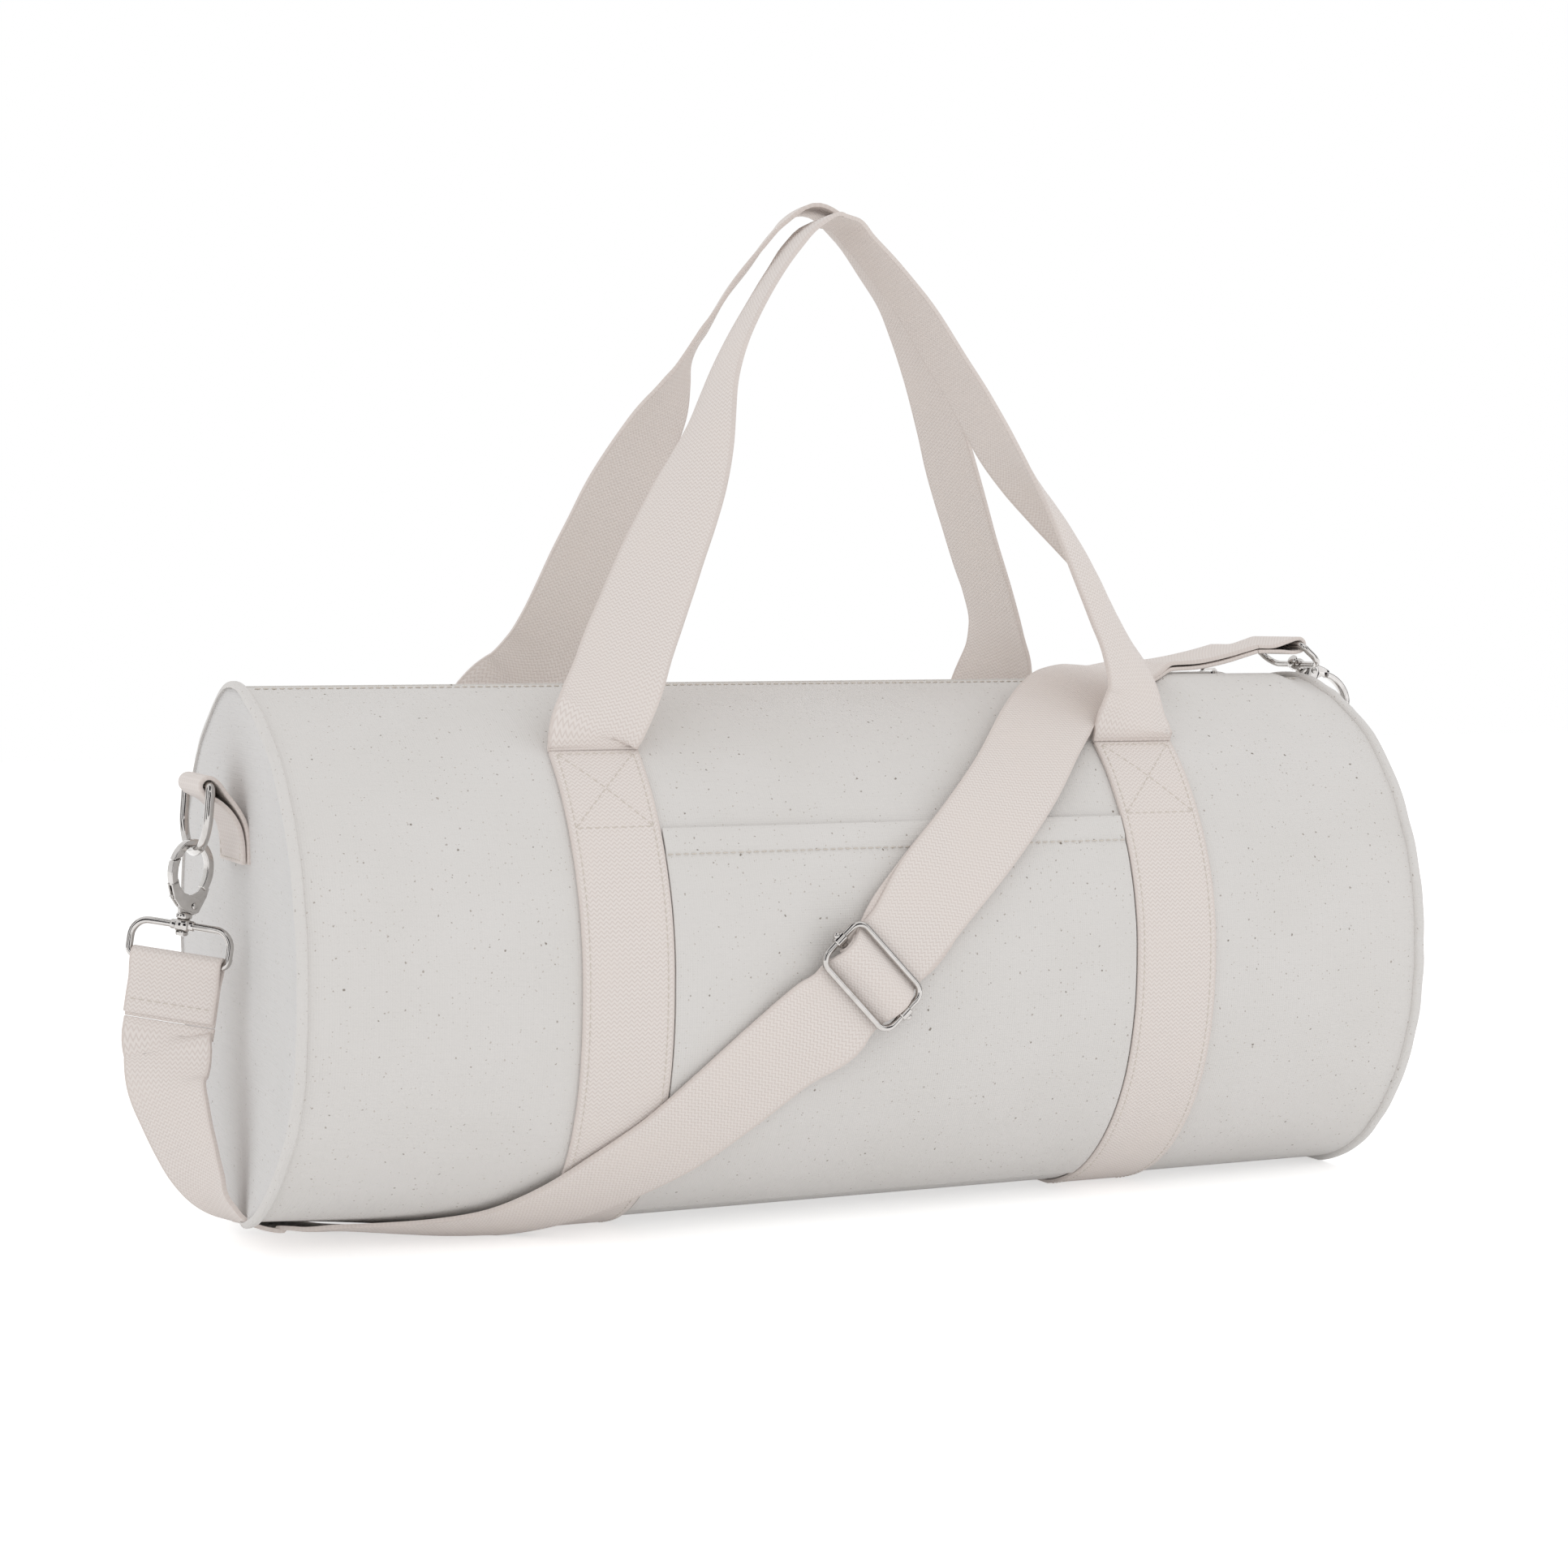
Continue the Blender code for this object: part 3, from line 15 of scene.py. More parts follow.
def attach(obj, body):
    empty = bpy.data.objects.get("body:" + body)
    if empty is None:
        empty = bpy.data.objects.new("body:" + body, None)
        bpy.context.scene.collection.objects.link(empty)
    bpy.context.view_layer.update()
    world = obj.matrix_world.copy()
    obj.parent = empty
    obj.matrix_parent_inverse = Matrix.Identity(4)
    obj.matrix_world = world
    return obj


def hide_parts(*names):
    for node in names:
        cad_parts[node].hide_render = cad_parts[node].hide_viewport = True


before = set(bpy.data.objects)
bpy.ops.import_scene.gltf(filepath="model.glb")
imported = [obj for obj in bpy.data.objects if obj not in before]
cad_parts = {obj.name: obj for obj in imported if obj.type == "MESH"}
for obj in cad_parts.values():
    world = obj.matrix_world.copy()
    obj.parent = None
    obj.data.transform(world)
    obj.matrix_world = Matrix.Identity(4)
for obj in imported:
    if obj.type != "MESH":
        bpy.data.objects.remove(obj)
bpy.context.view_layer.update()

# %% [markdown]
# ## Sizes
# A maker cuts every piece of a bag from one list of sizes, so the list stands at the top here too.
# Lengths are in metres and angles in degrees, and they are the sizes of the solids.

# %% Sizes of cloth, webbing and barrel
CLEARANCE = 0.0003
LAYER_GAP = 0.0006
CANVAS = 0.0012
WEBBING_WIDTH = 0.038
WEBBING = 0.0017
HALF_LENGTH = 0.250
HALF_WIDTH = 0.1082
END_TAPER = 0.0015
TOP_HEIGHT = 0.2235
AXIS_HEIGHT = 0.1115
END_AXIS_LIFT = 0.0045
END_LIFT = 0.0098
FLAT_DEPTH = 0.0005
LOWER_SQUARENESS = 2.3
SEAM_WIDTH = 0.0042
SEAM_RISE = 0.0023
ZIP_HALF_OPENING = 0.011
BAND_X = 0.1235
BAND_TOP = CLEARANCE + WEBBING
BOX_TOP_ANGLE = 51.0
BOX_BOTTOM_ANGLE = 31.5
STRAP_LIFT = BAND_TOP + LAYER_GAP + WEBBING / 2
LAYER = WEBBING + LAYER_GAP
RING_BAR_X, RING_BAR_HEIGHT, RING_DROP = 0.266, 0.1846, 0.0270
ENDS = ((-1, "left"), (1, "right"))
WELD = 1e-6
X_AXIS, Y_AXIS, Z_AXIS = Vector((1, 0, 0)), Vector((0, 1, 0)), Vector((0, 0, 1))

# %% [markdown]
# ## The camera
# The bag was photographed from a little left of its front, just above its middle. The camera stands
# there, and its lens frames the bag as the photograph does.


# %% Camera
def place_object(name, data, place=(0, 0, 0), target=None, facing="-Z"):
    """Adds an object to the scene. With a target, its facing axis points there."""
    made = bpy.data.objects.new(name, data)
    made.location = place
    if target:
        made.rotation_mode = "QUATERNION"
        made.rotation_quaternion = (Vector(target) - Vector(place)).to_track_quat(facing, "Y")
    bpy.context.scene.collection.objects.link(made)
    return made


CAMERA_PLACE, CAMERA_AIM = (-0.538, -1.202, 0.253), (-0.0098, 0.0, 0.1788)
camera = place_object("camera", bpy.data.cameras.new("camera"), CAMERA_PLACE, CAMERA_AIM)
camera.data.sensor_width = 36.0
camera.data.lens = 69.43
camera.data.clip_start = 0.05
bpy.context.scene.camera = camera
bpy.context.scene.view_settings.view_transform = "Standard"
print("camera is", round(math.dist(CAMERA_PLACE, CAMERA_AIM), 3), "m from the bag")

# %% [markdown]
# ## Node helpers
# A material is a small graph. These helpers add a node, set or link its inputs, and hand back the
# socket that the next node needs, so that each material below reads as a short recipe.


# %% Helpers for materials
def new_material(name):
    """A material with its Principled shader, ready for a recipe."""
    made = bpy.data.materials.new(name)
    made.use_nodes = True
    tree = made.node_tree
    return made, tree, tree.nodes["Principled BSDF"]


def fill(tree, node, inputs):
    """Sets a node's inputs, or links them where the value is another node's socket."""
    for key, value in inputs.items():
        if isinstance(value, bpy.types.NodeSocket):
            tree.links.new(value, node.inputs[key])
        else:
            node.inputs[key].default_value = value


def dress(tree, shader, **values):
    """Fills a shader's inputs by name, with _ for the spaces in the names."""
    fill(tree, shader, {key.replace("_", " "): value for key, value in values.items()})


def add(tree, kind, inputs=None, output=0, **settings):
    """Adds a node, fills its inputs, and returns one of its output sockets."""
    made = tree.nodes.new(kind)
    for key, value in settings.items():
        setattr(made, key, value)
    fill(tree, made, inputs or {})
    return made.outputs[output]


def calc(tree, operation, one, two=0.0, three=0.0):
    """One step of arithmetic."""
    return add(tree, "ShaderNodeMath", {0: one, 1: two, 2: three}, operation=operation)


def times(tree, one, two):
    return calc(tree, "MULTIPLY", one, two)


def blend_colors(tree, share, one, two):
    """A mix of two colours, each a socket or red, green, blue."""
    inputs = {0: share}
    for slot_number, color in ((6, one), (7, two)):
        inputs[slot_number] = color if isinstance(color, bpy.types.NodeSocket) else (*color, 1.0)
    return add(tree, "ShaderNodeMix", inputs, output=2, data_type="RGBA")


def cloud(tree, place, scale, detail, output=0):
    """Soft noise with so many clouds to a metre."""
    inputs = {"Vector": place, "Scale": scale, "Detail": detail}
    return add(tree, "ShaderNodeTexNoise", inputs, output)


def remap(tree, value, low, high, to_low=0.0, to_high=1.0):
    """Turns one range into another, clamped."""
    inputs = {0: value, 1: low, 2: high, 3: to_low, 4: to_high}
    return add(tree, "ShaderNodeMapRange", inputs)


def cloth_place(tree):
    """Where a point is on its cloth, in metres: the UV map's two numbers and the pair itself."""
    pair = add(tree, "ShaderNodeUVMap", uv_map="cloth")
    across = add(tree, "ShaderNodeSeparateXYZ", {0: pair}, 0)
    along = add(tree, "ShaderNodeSeparateXYZ", {0: pair}, 1)
    return pair, across, along


def raise_surface(tree, shader, height, distance, strength=1.0):
    """Bumps the surface by height, which runs from 0 to 1, times distance in metres."""
    inputs = {"Strength": strength, "Distance": distance, "Height": height}
    dress(tree, shader, Normal=add(tree, "ShaderNodeBump", inputs))


# %% [markdown]
# ## Natural canvas
# Unbleached cotton is not one colour. It is a warm off-white with darker flecks of seed husk, a few
# of them large and many of them faint, over soft blotches. Three Voronoi textures place the flecks,
# and only some cells of each get one. A fine plain weave and uneven yarns go into the bump.

# %% Canvas
# Each row: cells per metre, largest radius in cells, share of cells without one, colour, strength.
FLECKS = (
    (62.0, 0.032, 0.52, (0.20, 0.165, 0.13), 0.85),
    (150.0, 0.058, 0.30, (0.32, 0.27, 0.23), 0.72),
    (330.0, 0.100, 0.40, (0.44, 0.38, 0.32), 0.55),
)
YARN_WIDTH = 0.0010


def make_canvas(name, tint):
    made, tree, shader = new_material(name)
    pair, across, along = cloth_place(tree)
    wander = cloud(tree, pair, 900.0, 1.0, 1)
    shift = add(tree, "ShaderNodeVectorMath", {0: wander, "Scale": 0.0011}, operation="SCALE")
    bent = add(tree, "ShaderNodeVectorMath", {0: pair, 1: shift}, operation="ADD")
    blotch = cloud(tree, pair, 22.0, 3.0)
    color = blend_colors(tree, remap(tree, blotch, 0.3, 0.7), tint[0], tint[1])
    for scale, radius, rarity, dark, most in FLECKS:
        inputs = {"Vector": bent, "Scale": scale}
        near = add(tree, "ShaderNodeTexVoronoi", inputs, voronoi_dimensions="2D")
        chance = add(tree, "ShaderNodeTexVoronoi", inputs, 1, voronoi_dimensions="2D")
        drawn = add(tree, "ShaderNodeSeparateXYZ", {0: chance}, 0)
        size = remap(tree, drawn, rarity, 1.0, 0.0, radius)
        inside = remap(tree, calc(tree, "SUBTRACT", near, size), -radius * 0.3, radius * 0.3, 1.0, 0.0)
        kept = times(tree, inside, calc(tree, "GREATER_THAN", drawn, rarity))
        color = blend_colors(tree, times(tree, kept, most), color, dark)
    dress(tree, shader, Base_Color=color)
    weave = 0.0
    for place in (across, along):
        wave = calc(tree, "SINE", times(tree, place, math.tau / YARN_WIDTH))
        weave = calc(tree, "ADD", times(tree, wave, 0.12), weave)
    yarns = 0.0
    for stretch in ((40.0, 900.0, 1.0), (900.0, 40.0, 1.0)):
        thread = add(tree, "ShaderNodeVectorMath", {0: pair, 1: stretch}, operation="MULTIPLY")
        uneven = cloud(tree, thread, 1.0, 2.0)
        yarns = calc(tree, "ADD", times(tree, uneven, 0.7), yarns)
    raise_surface(tree, shader, calc(tree, "ADD", weave, yarns), 0.00022, 0.8)
    dress(tree, shader, Roughness=0.92, Specular_IOR_Level=0.25, Sheen_Weight=0.12, Sheen_Roughness=0.6)
    return made


canvas = make_canvas("natural_canvas", ((0.735, 0.712, 0.688), (0.755, 0.732, 0.712)))
# The ends get a darker, cooler copy of the same canvas: painted shade for the dimmer light there.
shaded_end_canvas = make_canvas("shaded_end_canvas", ((0.705, 0.690, 0.680), (0.730, 0.715, 0.705)))
print("canvas nodes:", len(canvas.node_tree.nodes))

# %% [markdown]
# ## Cotton webbing
# Handle webbing is woven thick: its face shows rows of weft threads side by side, and each row
# wavers as it passes over and under the ribs. The recipe is one wave along the webbing for the rows,
# shifted a little by a second wave across it. The grooves are painted darker and pinker, as shade
# in the weave, and a narrow selvedge at both edges stays smooth.

# %% Webbing
RIB_WIDTH = 0.0024
ROW_LENGTH = 0.00175
SELVEDGE, SELVEDGE_END = 0.0014, 0.0008


def make_webbing(name, ridge, shaded_groove):
    made, tree, shader = new_material(name)
    pair, across, along = cloth_place(tree)
    rib = calc(tree, "SINE", times(tree, across, math.tau / RIB_WIDTH))
    row = calc(tree, "MULTIPLY_ADD", along, math.tau / ROW_LENGTH, times(tree, rib, 1.9))
    weft = calc(tree, "MULTIPLY_ADD", calc(tree, "COSINE", row), 0.5, 0.5)
    inset = calc(tree, "ABSOLUTE", calc(tree, "SUBTRACT", across, WEBBING_WIDTH / 2))
    edge = WEBBING_WIDTH / 2
    woven = remap(tree, inset, edge - SELVEDGE, edge - SELVEDGE_END, 1.0, 0.25)
    fuzz = cloud(tree, pair, 600.0, 1.0)
    fuzz = times(tree, fuzz, 0.12)
    height = calc(tree, "MULTIPLY_ADD", calc(tree, "POWER", weft, 0.7), woven, fuzz)
    # Low places take the darker, pinker groove colour: painted shade in the weave's hollows.
    color = blend_colors(tree, remap(tree, height, 0.10, 0.80), shaded_groove, ridge)
    wash = cloud(tree, pair, 30.0, 2.0)
    warm = tuple(value * share for value, share in zip(ridge, (0.98, 0.96, 0.94)))
    color = blend_colors(tree, remap(tree, wash, 0.45, 0.75, 0.0, 0.4), color, warm)
    dress(tree, shader, Base_Color=color)
    raise_surface(tree, shader, height, 0.00016, 0.6)
    dress(tree, shader, Roughness=0.9, Specular_IOR_Level=0.25, Sheen_Weight=0.15, Sheen_Roughness=0.5)
    return made


# The second colour is the grooves' painted shade.
webbing_cloth = make_webbing("cotton_webbing", (0.825, 0.765, 0.730), (0.715, 0.642, 0.602))
print("webbing nodes:", len(webbing_cloth.node_tree.nodes))

# %% [markdown]
# ## Thread, zip and nickel
# Thread is cream and slightly glossy. The zip's tape is a fine twill, and its coil is pale nylon.
# The hardware is die-cast zinc with a bright nickel plate: nearly a mirror, with a faint warm tone
# and a little unevenness that softens its reflections.


# %% Thread, tape, coil and nickel
def make_thread(name, color):
    made, tree, shader = new_material(name)
    place = add(tree, "ShaderNodeTexCoord", output=3)
    twist = cloud(tree, place, 2500.0, 1.0)
    darker = tuple(value * 0.86 for value in color)
    mixed = blend_colors(tree, remap(tree, twist, 0.35, 0.65), darker, color)
    dress(tree, shader, Base_Color=mixed)
    raise_surface(tree, shader, twist, 0.0001)
    dress(tree, shader, Roughness=0.65)
    return made


def make_tape(name, color, twill_width=0.0011):
    made, tree, shader = new_material(name)
    pair, across, along = cloth_place(tree)
    slant = times(tree, calc(tree, "ADD", across, along), math.tau / twill_width)
    twill = calc(tree, "MULTIPLY_ADD", calc(tree, "SINE", slant), 0.5, 0.5)
    darker = tuple(value * 0.88 for value in color)
    dress(tree, shader, Base_Color=blend_colors(tree, twill, darker, color))
    raise_surface(tree, shader, twill, 0.0002)
    dress(tree, shader, Roughness=0.85)
    return made


def make_nylon(name, color):
    made, tree, shader = new_material(name)
    place = add(tree, "ShaderNodeTexCoord", output=3)
    cloudy = cloud(tree, place, 400.0, 2.0)
    warmer = tuple(value * share for value, share in zip(color, (0.97, 0.93, 0.84)))
    dress(tree, shader, Base_Color=blend_colors(tree, cloudy, warmer, color))
    dress(tree, shader, Roughness=0.38, Subsurface_Weight=0.1, Subsurface_Scale=0.001)
    return made


def make_nickel(name):
    made, tree, shader = new_material(name)
    place = add(tree, "ShaderNodeTexCoord", output=3)
    cast = cloud(tree, place, 260.0, 3.0)
    shade = blend_colors(tree, remap(tree, cast, 0.35, 0.7), (0.60, 0.58, 0.565), (0.52, 0.50, 0.48))
    dress(tree, shader, Base_Color=shade, Roughness=remap(tree, cast, 0.3, 0.7, 0.06, 0.14))
    raise_surface(tree, shader, cast, 0.00005, 0.4)
    dress(tree, shader, Metallic=1.0)
    return made


thread = make_thread("cotton_thread", (0.74, 0.68, 0.61))
tape_cloth = make_tape("zip_tape_twill", (0.76, 0.73, 0.64))
nylon = make_nylon("zip_nylon", (0.80, 0.76, 0.62))
nickel = make_nickel("bright_nickel")
print("materials:", len(bpy.data.materials))

# %% [markdown]
# ## Laying cloth
# Sewn cloth starts flat. So does each piece here: an even grid, with a UV map in metres that keeps
# the weave at its real scale, is carried to rows of points, and Solidify then gives it thickness.
# A wire is the same grid, closed both ways round, so one helper serves both.


# %% Helpers for meshes
def lay_grid(bm, rows):
    """Carries a flat grid through rows of points, and keeps its flat size in the UV map."""
    columns, lines = len(rows[0]) - 1, len(rows) - 1
    middle = rows[lines // 2]
    across, along = [0.0], [0.0]
    for one, two in zip(middle, middle[1:]):
        across.append(across[-1] + (two - one).length)
    for one, two in zip(rows, rows[1:]):
        along.append(along[-1] + (two[columns // 2] - one[columns // 2]).length)
    verts = bmesh.ops.create_grid(bm, x_segments=columns, y_segments=lines, size=0.5)["verts"]
    cloth = bm.loops.layers.uv.verify()
    where = {}
    for vert in verts:
        where[vert] = (round((vert.co.x + 0.5) * columns), round((vert.co.y + 0.5) * lines))
    for face in {face for vert in verts for face in vert.link_faces}:
        for corner in face.loops:
            column, line = where[corner.vert]
            corner[cloth].uv = (across[column], along[line])
    for vert, (column, line) in where.items():
        vert.co = rows[line][column]
    return verts


def finish(name, bm, surface, body, nodes=(), sharp=40.0):
    """Makes the piece an object, lets it ride on its body and hides the solids it stands for."""
    mesh = bpy.data.meshes.new(name)
    bm.to_mesh(mesh)
    bm.free()
    if mesh.uv_layers:
        mesh.uv_layers[0].name = "cloth"
    mesh.shade_smooth()
    mesh.set_sharp_from_angle(angle=math.radians(sharp))
    mesh.materials.append(surface)
    piece = place_object(name, mesh)
    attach(piece, body)
    if nodes:
        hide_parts(*nodes)
    return piece


def thicken(piece, thickness, rounding=0.0):
    """Gives cloth its thickness evenly to both sides, and rounds its cut edges."""
    solid = piece.modifiers.new("thickness", "SOLIDIFY")
    solid.thickness = thickness
    solid.offset = 0.0
    solid.use_even_offset = not rounding
    if rounding:
        soft = piece.modifiers.new("edges", "BEVEL")
        soft.width = rounding
        soft.segments = 2
        soft.limit_method = "ANGLE"
        soft.angle_limit = math.radians(50)
    return piece


def cloth_piece(name, rows, surface, body, nodes=(), thickness=CANVAS, rounding=0.0):
    """One piece of cloth laid through rows of points."""
    bm = bmesh.new()
    lay_grid(bm, rows)
    piece = finish(name, bm, surface, body, nodes)
    thicken(piece, thickness, rounding)
    print(name, "is", len(piece.data.polygons), "faces")
    return piece


def webbing_piece(name, rows, body, nodes):
    return cloth_piece(name, rows, webbing_cloth, body, nodes, WEBBING, 0.00045)


def spread(start, end, count):
    """Even steps from start to end."""
    return [start + (end - start) * step / count for step in range(count + 1)]


def arc(center, radii, start, end, steps):
    """Points of an elliptical arc, from one angle to another in degrees."""
    turns = [math.radians(angle) for angle in spread(start, end, steps)]
    return [(center[0] + radii[0] * math.cos(a), center[1] + radii[1] * math.sin(a)) for a in turns]


def headings(points):
    """The way along a run of points, at each of them."""
    around = zip(points[:1] + points[:-1], points[1:] + points[-1:])
    return [(Vector(two[:3]) - Vector(one[:3])).normalized() for one, two in around]


def run_length(rows):
    """The length of webbing along its middle."""
    middle = [row[len(row) // 2] for row in rows]
    return round(sum((two - one).length for one, two in zip(middle, middle[1:])), 3)


def wire(bm, points, diameter, sides):
    """A closed loop of round wire: a grid wrapped round the line and along it, then welded."""
    rows, side = [], None
    circle = arc((0, 0), (diameter / 2, diameter / 2), 0, 360, sides)
    for before, point, after in zip(points[-1:] + points[:-1], points, points[1:] + points[:1]):
        line = (after - before).normalized()
        side = line.orthogonal() if side is None else side - line * side.dot(line)
        side.normalize()
        other = line.cross(side)
        rows.append([point + side * a + other * b for a, b in circle])
    verts = lay_grid(bm, rows + rows[:1])
    bmesh.ops.remove_doubles(bm, verts=verts, dist=WELD)
    bmesh.ops.recalc_face_normals(bm, faces=bm.faces[:])


def smooth_path(points, steps):
    """A smooth run through tuples of numbers, of which the first three at most are a place."""
    gaps = [math.dist(one[:3], two[:3]) for one, two in zip(points, points[1:])]
    rates = [[(b - a) / gap for a, b in zip(one, two)] for one, two, gap in zip(points, points[1:], gaps)]
    slopes = [rates[0]]
    for i in range(1, len(points) - 1):
        share = gaps[i] / (gaps[i - 1] + gaps[i])
        slopes.append([a * share + b * (1 - share) for a, b in zip(rates[i - 1], rates[i])])
    slopes.append(rates[-1])
    path = []
    for i, gap in enumerate(gaps):
        for step in range(steps):
            t = step / steps
            rise = t * t * (3 - 2 * t)
            leave, arrive = t * (1 - t) ** 2 * gap, t * t * (t - 1) * gap
            row = zip(points[i], points[i + 1], slopes[i], slopes[i + 1])
            path.append(tuple(a + (b - a) * rise + m * leave + n * arrive for a, b, m, n in row))
    path.append(tuple(points[-1]))
    return path


# %% [markdown]
# ## The barrel's surface
# Almost everything on this bag lies on one rounded surface, so that surface is a function: a place
# along the bag and an angle round it give a point. The angle is 0 at the front and 90 at the top.
# The canvas is not drum-tight, so the function also lets it fall in by a millimetre in slow waves,
# except along the zip, which holds it straight, puckers it beside the end seams, and puffs it up on
# both sides of the zip under the strap's arch. Whatever lies on the canvas uses the same function.

# %% The barrel as a function
SLACK, RIPPLE, END_PUCKER = 0.0013, 0.0004, 0.0013
PUFF = 0.0052
FRONT_PUSH, LOW_PUSH = 0.0047, 0.0040


def ease(value, low, high):
    """An even step from 0 to 1 between low and high."""
    t = min(max((value - low) / (high - low), 0.0), 1.0)
    return t * t * (3 - 2 * t)


def compass(degrees):
    """The cosine and sine of an angle."""
    return math.cos(math.radians(degrees)), math.sin(math.radians(degrees))


def section(x):
    """The outline at x: half its width, its axis's height, and how far it goes up and down."""
    share = ease(-x / HALF_LENGTH, 0.57, 1.0)
    axis = AXIS_HEIGHT + END_AXIS_LIFT * share
    bottom = END_LIFT * share - FLAT_DEPTH
    return HALF_WIDTH - END_TAPER * x / HALF_LENGTH, axis, TOP_HEIGHT - axis, axis - bottom


def outline_point(x, degrees):
    half, axis, up, down = section(x)
    c, s = compass(degrees)
    power, reach = (2.0, up) if s >= 0 else (LOWER_SQUARENESS, down)
    radius = ((abs(c) / half) ** power + (abs(s) / reach) ** power) ** (-1 / power)
    return Vector((x, -radius * c, axis + radius * s))


def outward(x, degrees):
    along = outline_point(x, degrees + 0.5) - outline_point(x, degrees - 0.5)
    return Vector((0, -along.z, along.y)).normalized()


def slack(x, degrees):
    """How far the canvas falls in from its full outline."""
    c, s = compass(degrees)
    wave = 0.5 + 0.5 * noise.noise(Vector((x * 8.0, c * 1.6, s * 1.6)))
    ripple = 0.5 + 0.5 * noise.noise(Vector((x * 22.0, c * 9.0, s * 9.0 + 7.0)))
    by_end = math.exp(-(HALF_LENGTH - abs(x)) / 0.020)
    held = ease(s, -0.95, -0.70) * (ease(abs(c), 0.13, 0.30) if s > 0 else 1.0)
    puff = ease(x, 0.150, 0.172) * (1.0 - ease(x, 0.222, 0.243)) * ease(abs(c), 0.11, 0.21)
    puff *= 1.0 - ease(abs(c), 0.30, 0.55) if s > 0 else 0.0
    return (SLACK * wave + END_PUCKER * ripple * by_end + RIPPLE * ripple) * held - PUFF * puff


def drift(x, degrees):
    """How far the filled bag pushes its left seam out at the front, and more so below."""
    c, s = compass(degrees)
    front = FRONT_PUSH * ease(c, -0.6, 0.4) + LOW_PUSH * ease(-s, 0.3, 0.9) * ease(c, 0.0, 0.4)
    return -front * ease(-x / HALF_LENGTH, 0.62, 0.98)


def on_barrel(x, degrees, lift=0.0, floor=0.0):
    """A point that stands off the canvas by lift, and no lower than floor."""
    point = outline_point(x, degrees) + outward(x, degrees) * (lift - slack(x, degrees))
    return Vector((x + drift(x, degrees), point.y, max(point.z, floor)))


def angle_above(x, y):
    """The angle at which the top of the barrel is y away from its middle."""
    half, _, up, _ = section(x)
    return math.degrees(math.atan2(up * math.sqrt(1 - (y / half) ** 2), y))


girth = sum((on_barrel(0, a) - on_barrel(0, a + 3)).length for a in range(0, 360, 3))
print("girth:", round(girth, 3), "m")

# %% [markdown]
# ## The barrel and its ends
# The barrel is one rectangle of canvas from one side of the zip, under the bag, to the other. Under
# each band it rises by the band's thickness, as cloth does over whatever lies below it. The edges by
# the zip are folded under, so they stand a little prouder, with a row of stitches.


# %% Barrel
def floor_of_canvas(x):
    """The height of the canvas's underside: raised over the bands and at the end seams."""
    band = 1.0 - ease(abs(abs(x) - BAND_X), 0.0196, 0.0226)
    seam = ease(abs(x), 0.2432, 0.2458)
    return max(band * (WEBBING + CLEARANCE), seam * (SEAM_RISE + CLEARANCE))


def hem(distance, width=0.0050):
    """The extra height of a folded edge, from its distance to the fold."""
    return 0.0005 * (1.0 - ease(distance, width - 0.0009, width + 0.0004))


end = HALF_LENGTH - SEAM_WIDTH / 2 - CLEARANCE
rows = []
for turn in range(121):
    row = []
    for x in spread(-end, end, 164):
        start = angle_above(x, ZIP_HALF_OPENING)
        degrees = start + (-180 - 2 * start) * turn / 120
        edge = min(turn, 120 - turn) / 120 * 0.66
        row.append(on_barrel(x, degrees, hem(edge) - CANVAS / 2, floor_of_canvas(x) + CANVAS / 2))
    rows.append(row)
cloth_piece("canvas_barrel", rows, canvas, "bag", ["body_panel"], CANVAS, 0.0003)

# %% [markdown]
# An end is a disc of the same canvas, coloured a little darker and cooler as painted shade. It is
# laid as rings round its middle, then the ring at the middle is welded to one point. Its cloth falls
# in a little in soft folds, and lies flat behind the tab that is sewn to it.

# %% End discs
END_RINGS = 28
END_SAG = 0.0009


def lay_end(side, name):
    face = side * (HALF_LENGTH - SEAM_WIDTH / 2)
    middle = Vector((face, 0, section(face)[1]))
    rows = []
    for share in spread(0, 1, END_RINGS):
        row = []
        for degrees in spread(0, 360, 120):
            edge = on_barrel(face, degrees, 0.0, SEAM_RISE + CLEARANCE)
            point = middle.lerp(edge, share)
            point.x = face + (edge.x - face) * share**2
            calm = ease(abs(point.y), 0.018, 0.034) if point.z > 0.148 else 1.0
            calm = max(calm, 1.0 - ease(point.z, 0.135, 0.150))
            fold = noise.noise(Vector((point.y * 26.0, point.z * 6.0, side * 3.0)))
            sag = END_SAG * (0.5 + 0.5 * fold) * calm * (1.0 - share**4)
            row.append(point + X_AXIS * side * (CANVAS / 2 - sag))
        rows.append(row)
    bm = bmesh.new()
    verts = lay_grid(bm, rows)
    cloth = bm.loops.layers.uv.verify()
    for bm_face in bm.faces:
        for corner in bm_face.loops:
            corner[cloth].uv = (corner.vert.co.y + 0.2, corner.vert.co.z)
    bmesh.ops.remove_doubles(bm, verts=verts, dist=WELD)
    piece = finish(f"end_cloth_{name}", bm, shaded_end_canvas, "bag", [f"end_panel_{name}"])
    thicken(piece, CANVAS)


for side, name in ENDS:
    lay_end(side, name)

# %% [markdown]
# The barrel and each end are sewn face to face, and the seam allowance is turned to a ridge that
# stands up all round. A real ridge wavers, because the round end is eased into the straight edge, so
# its height and its lean follow a slow noise.


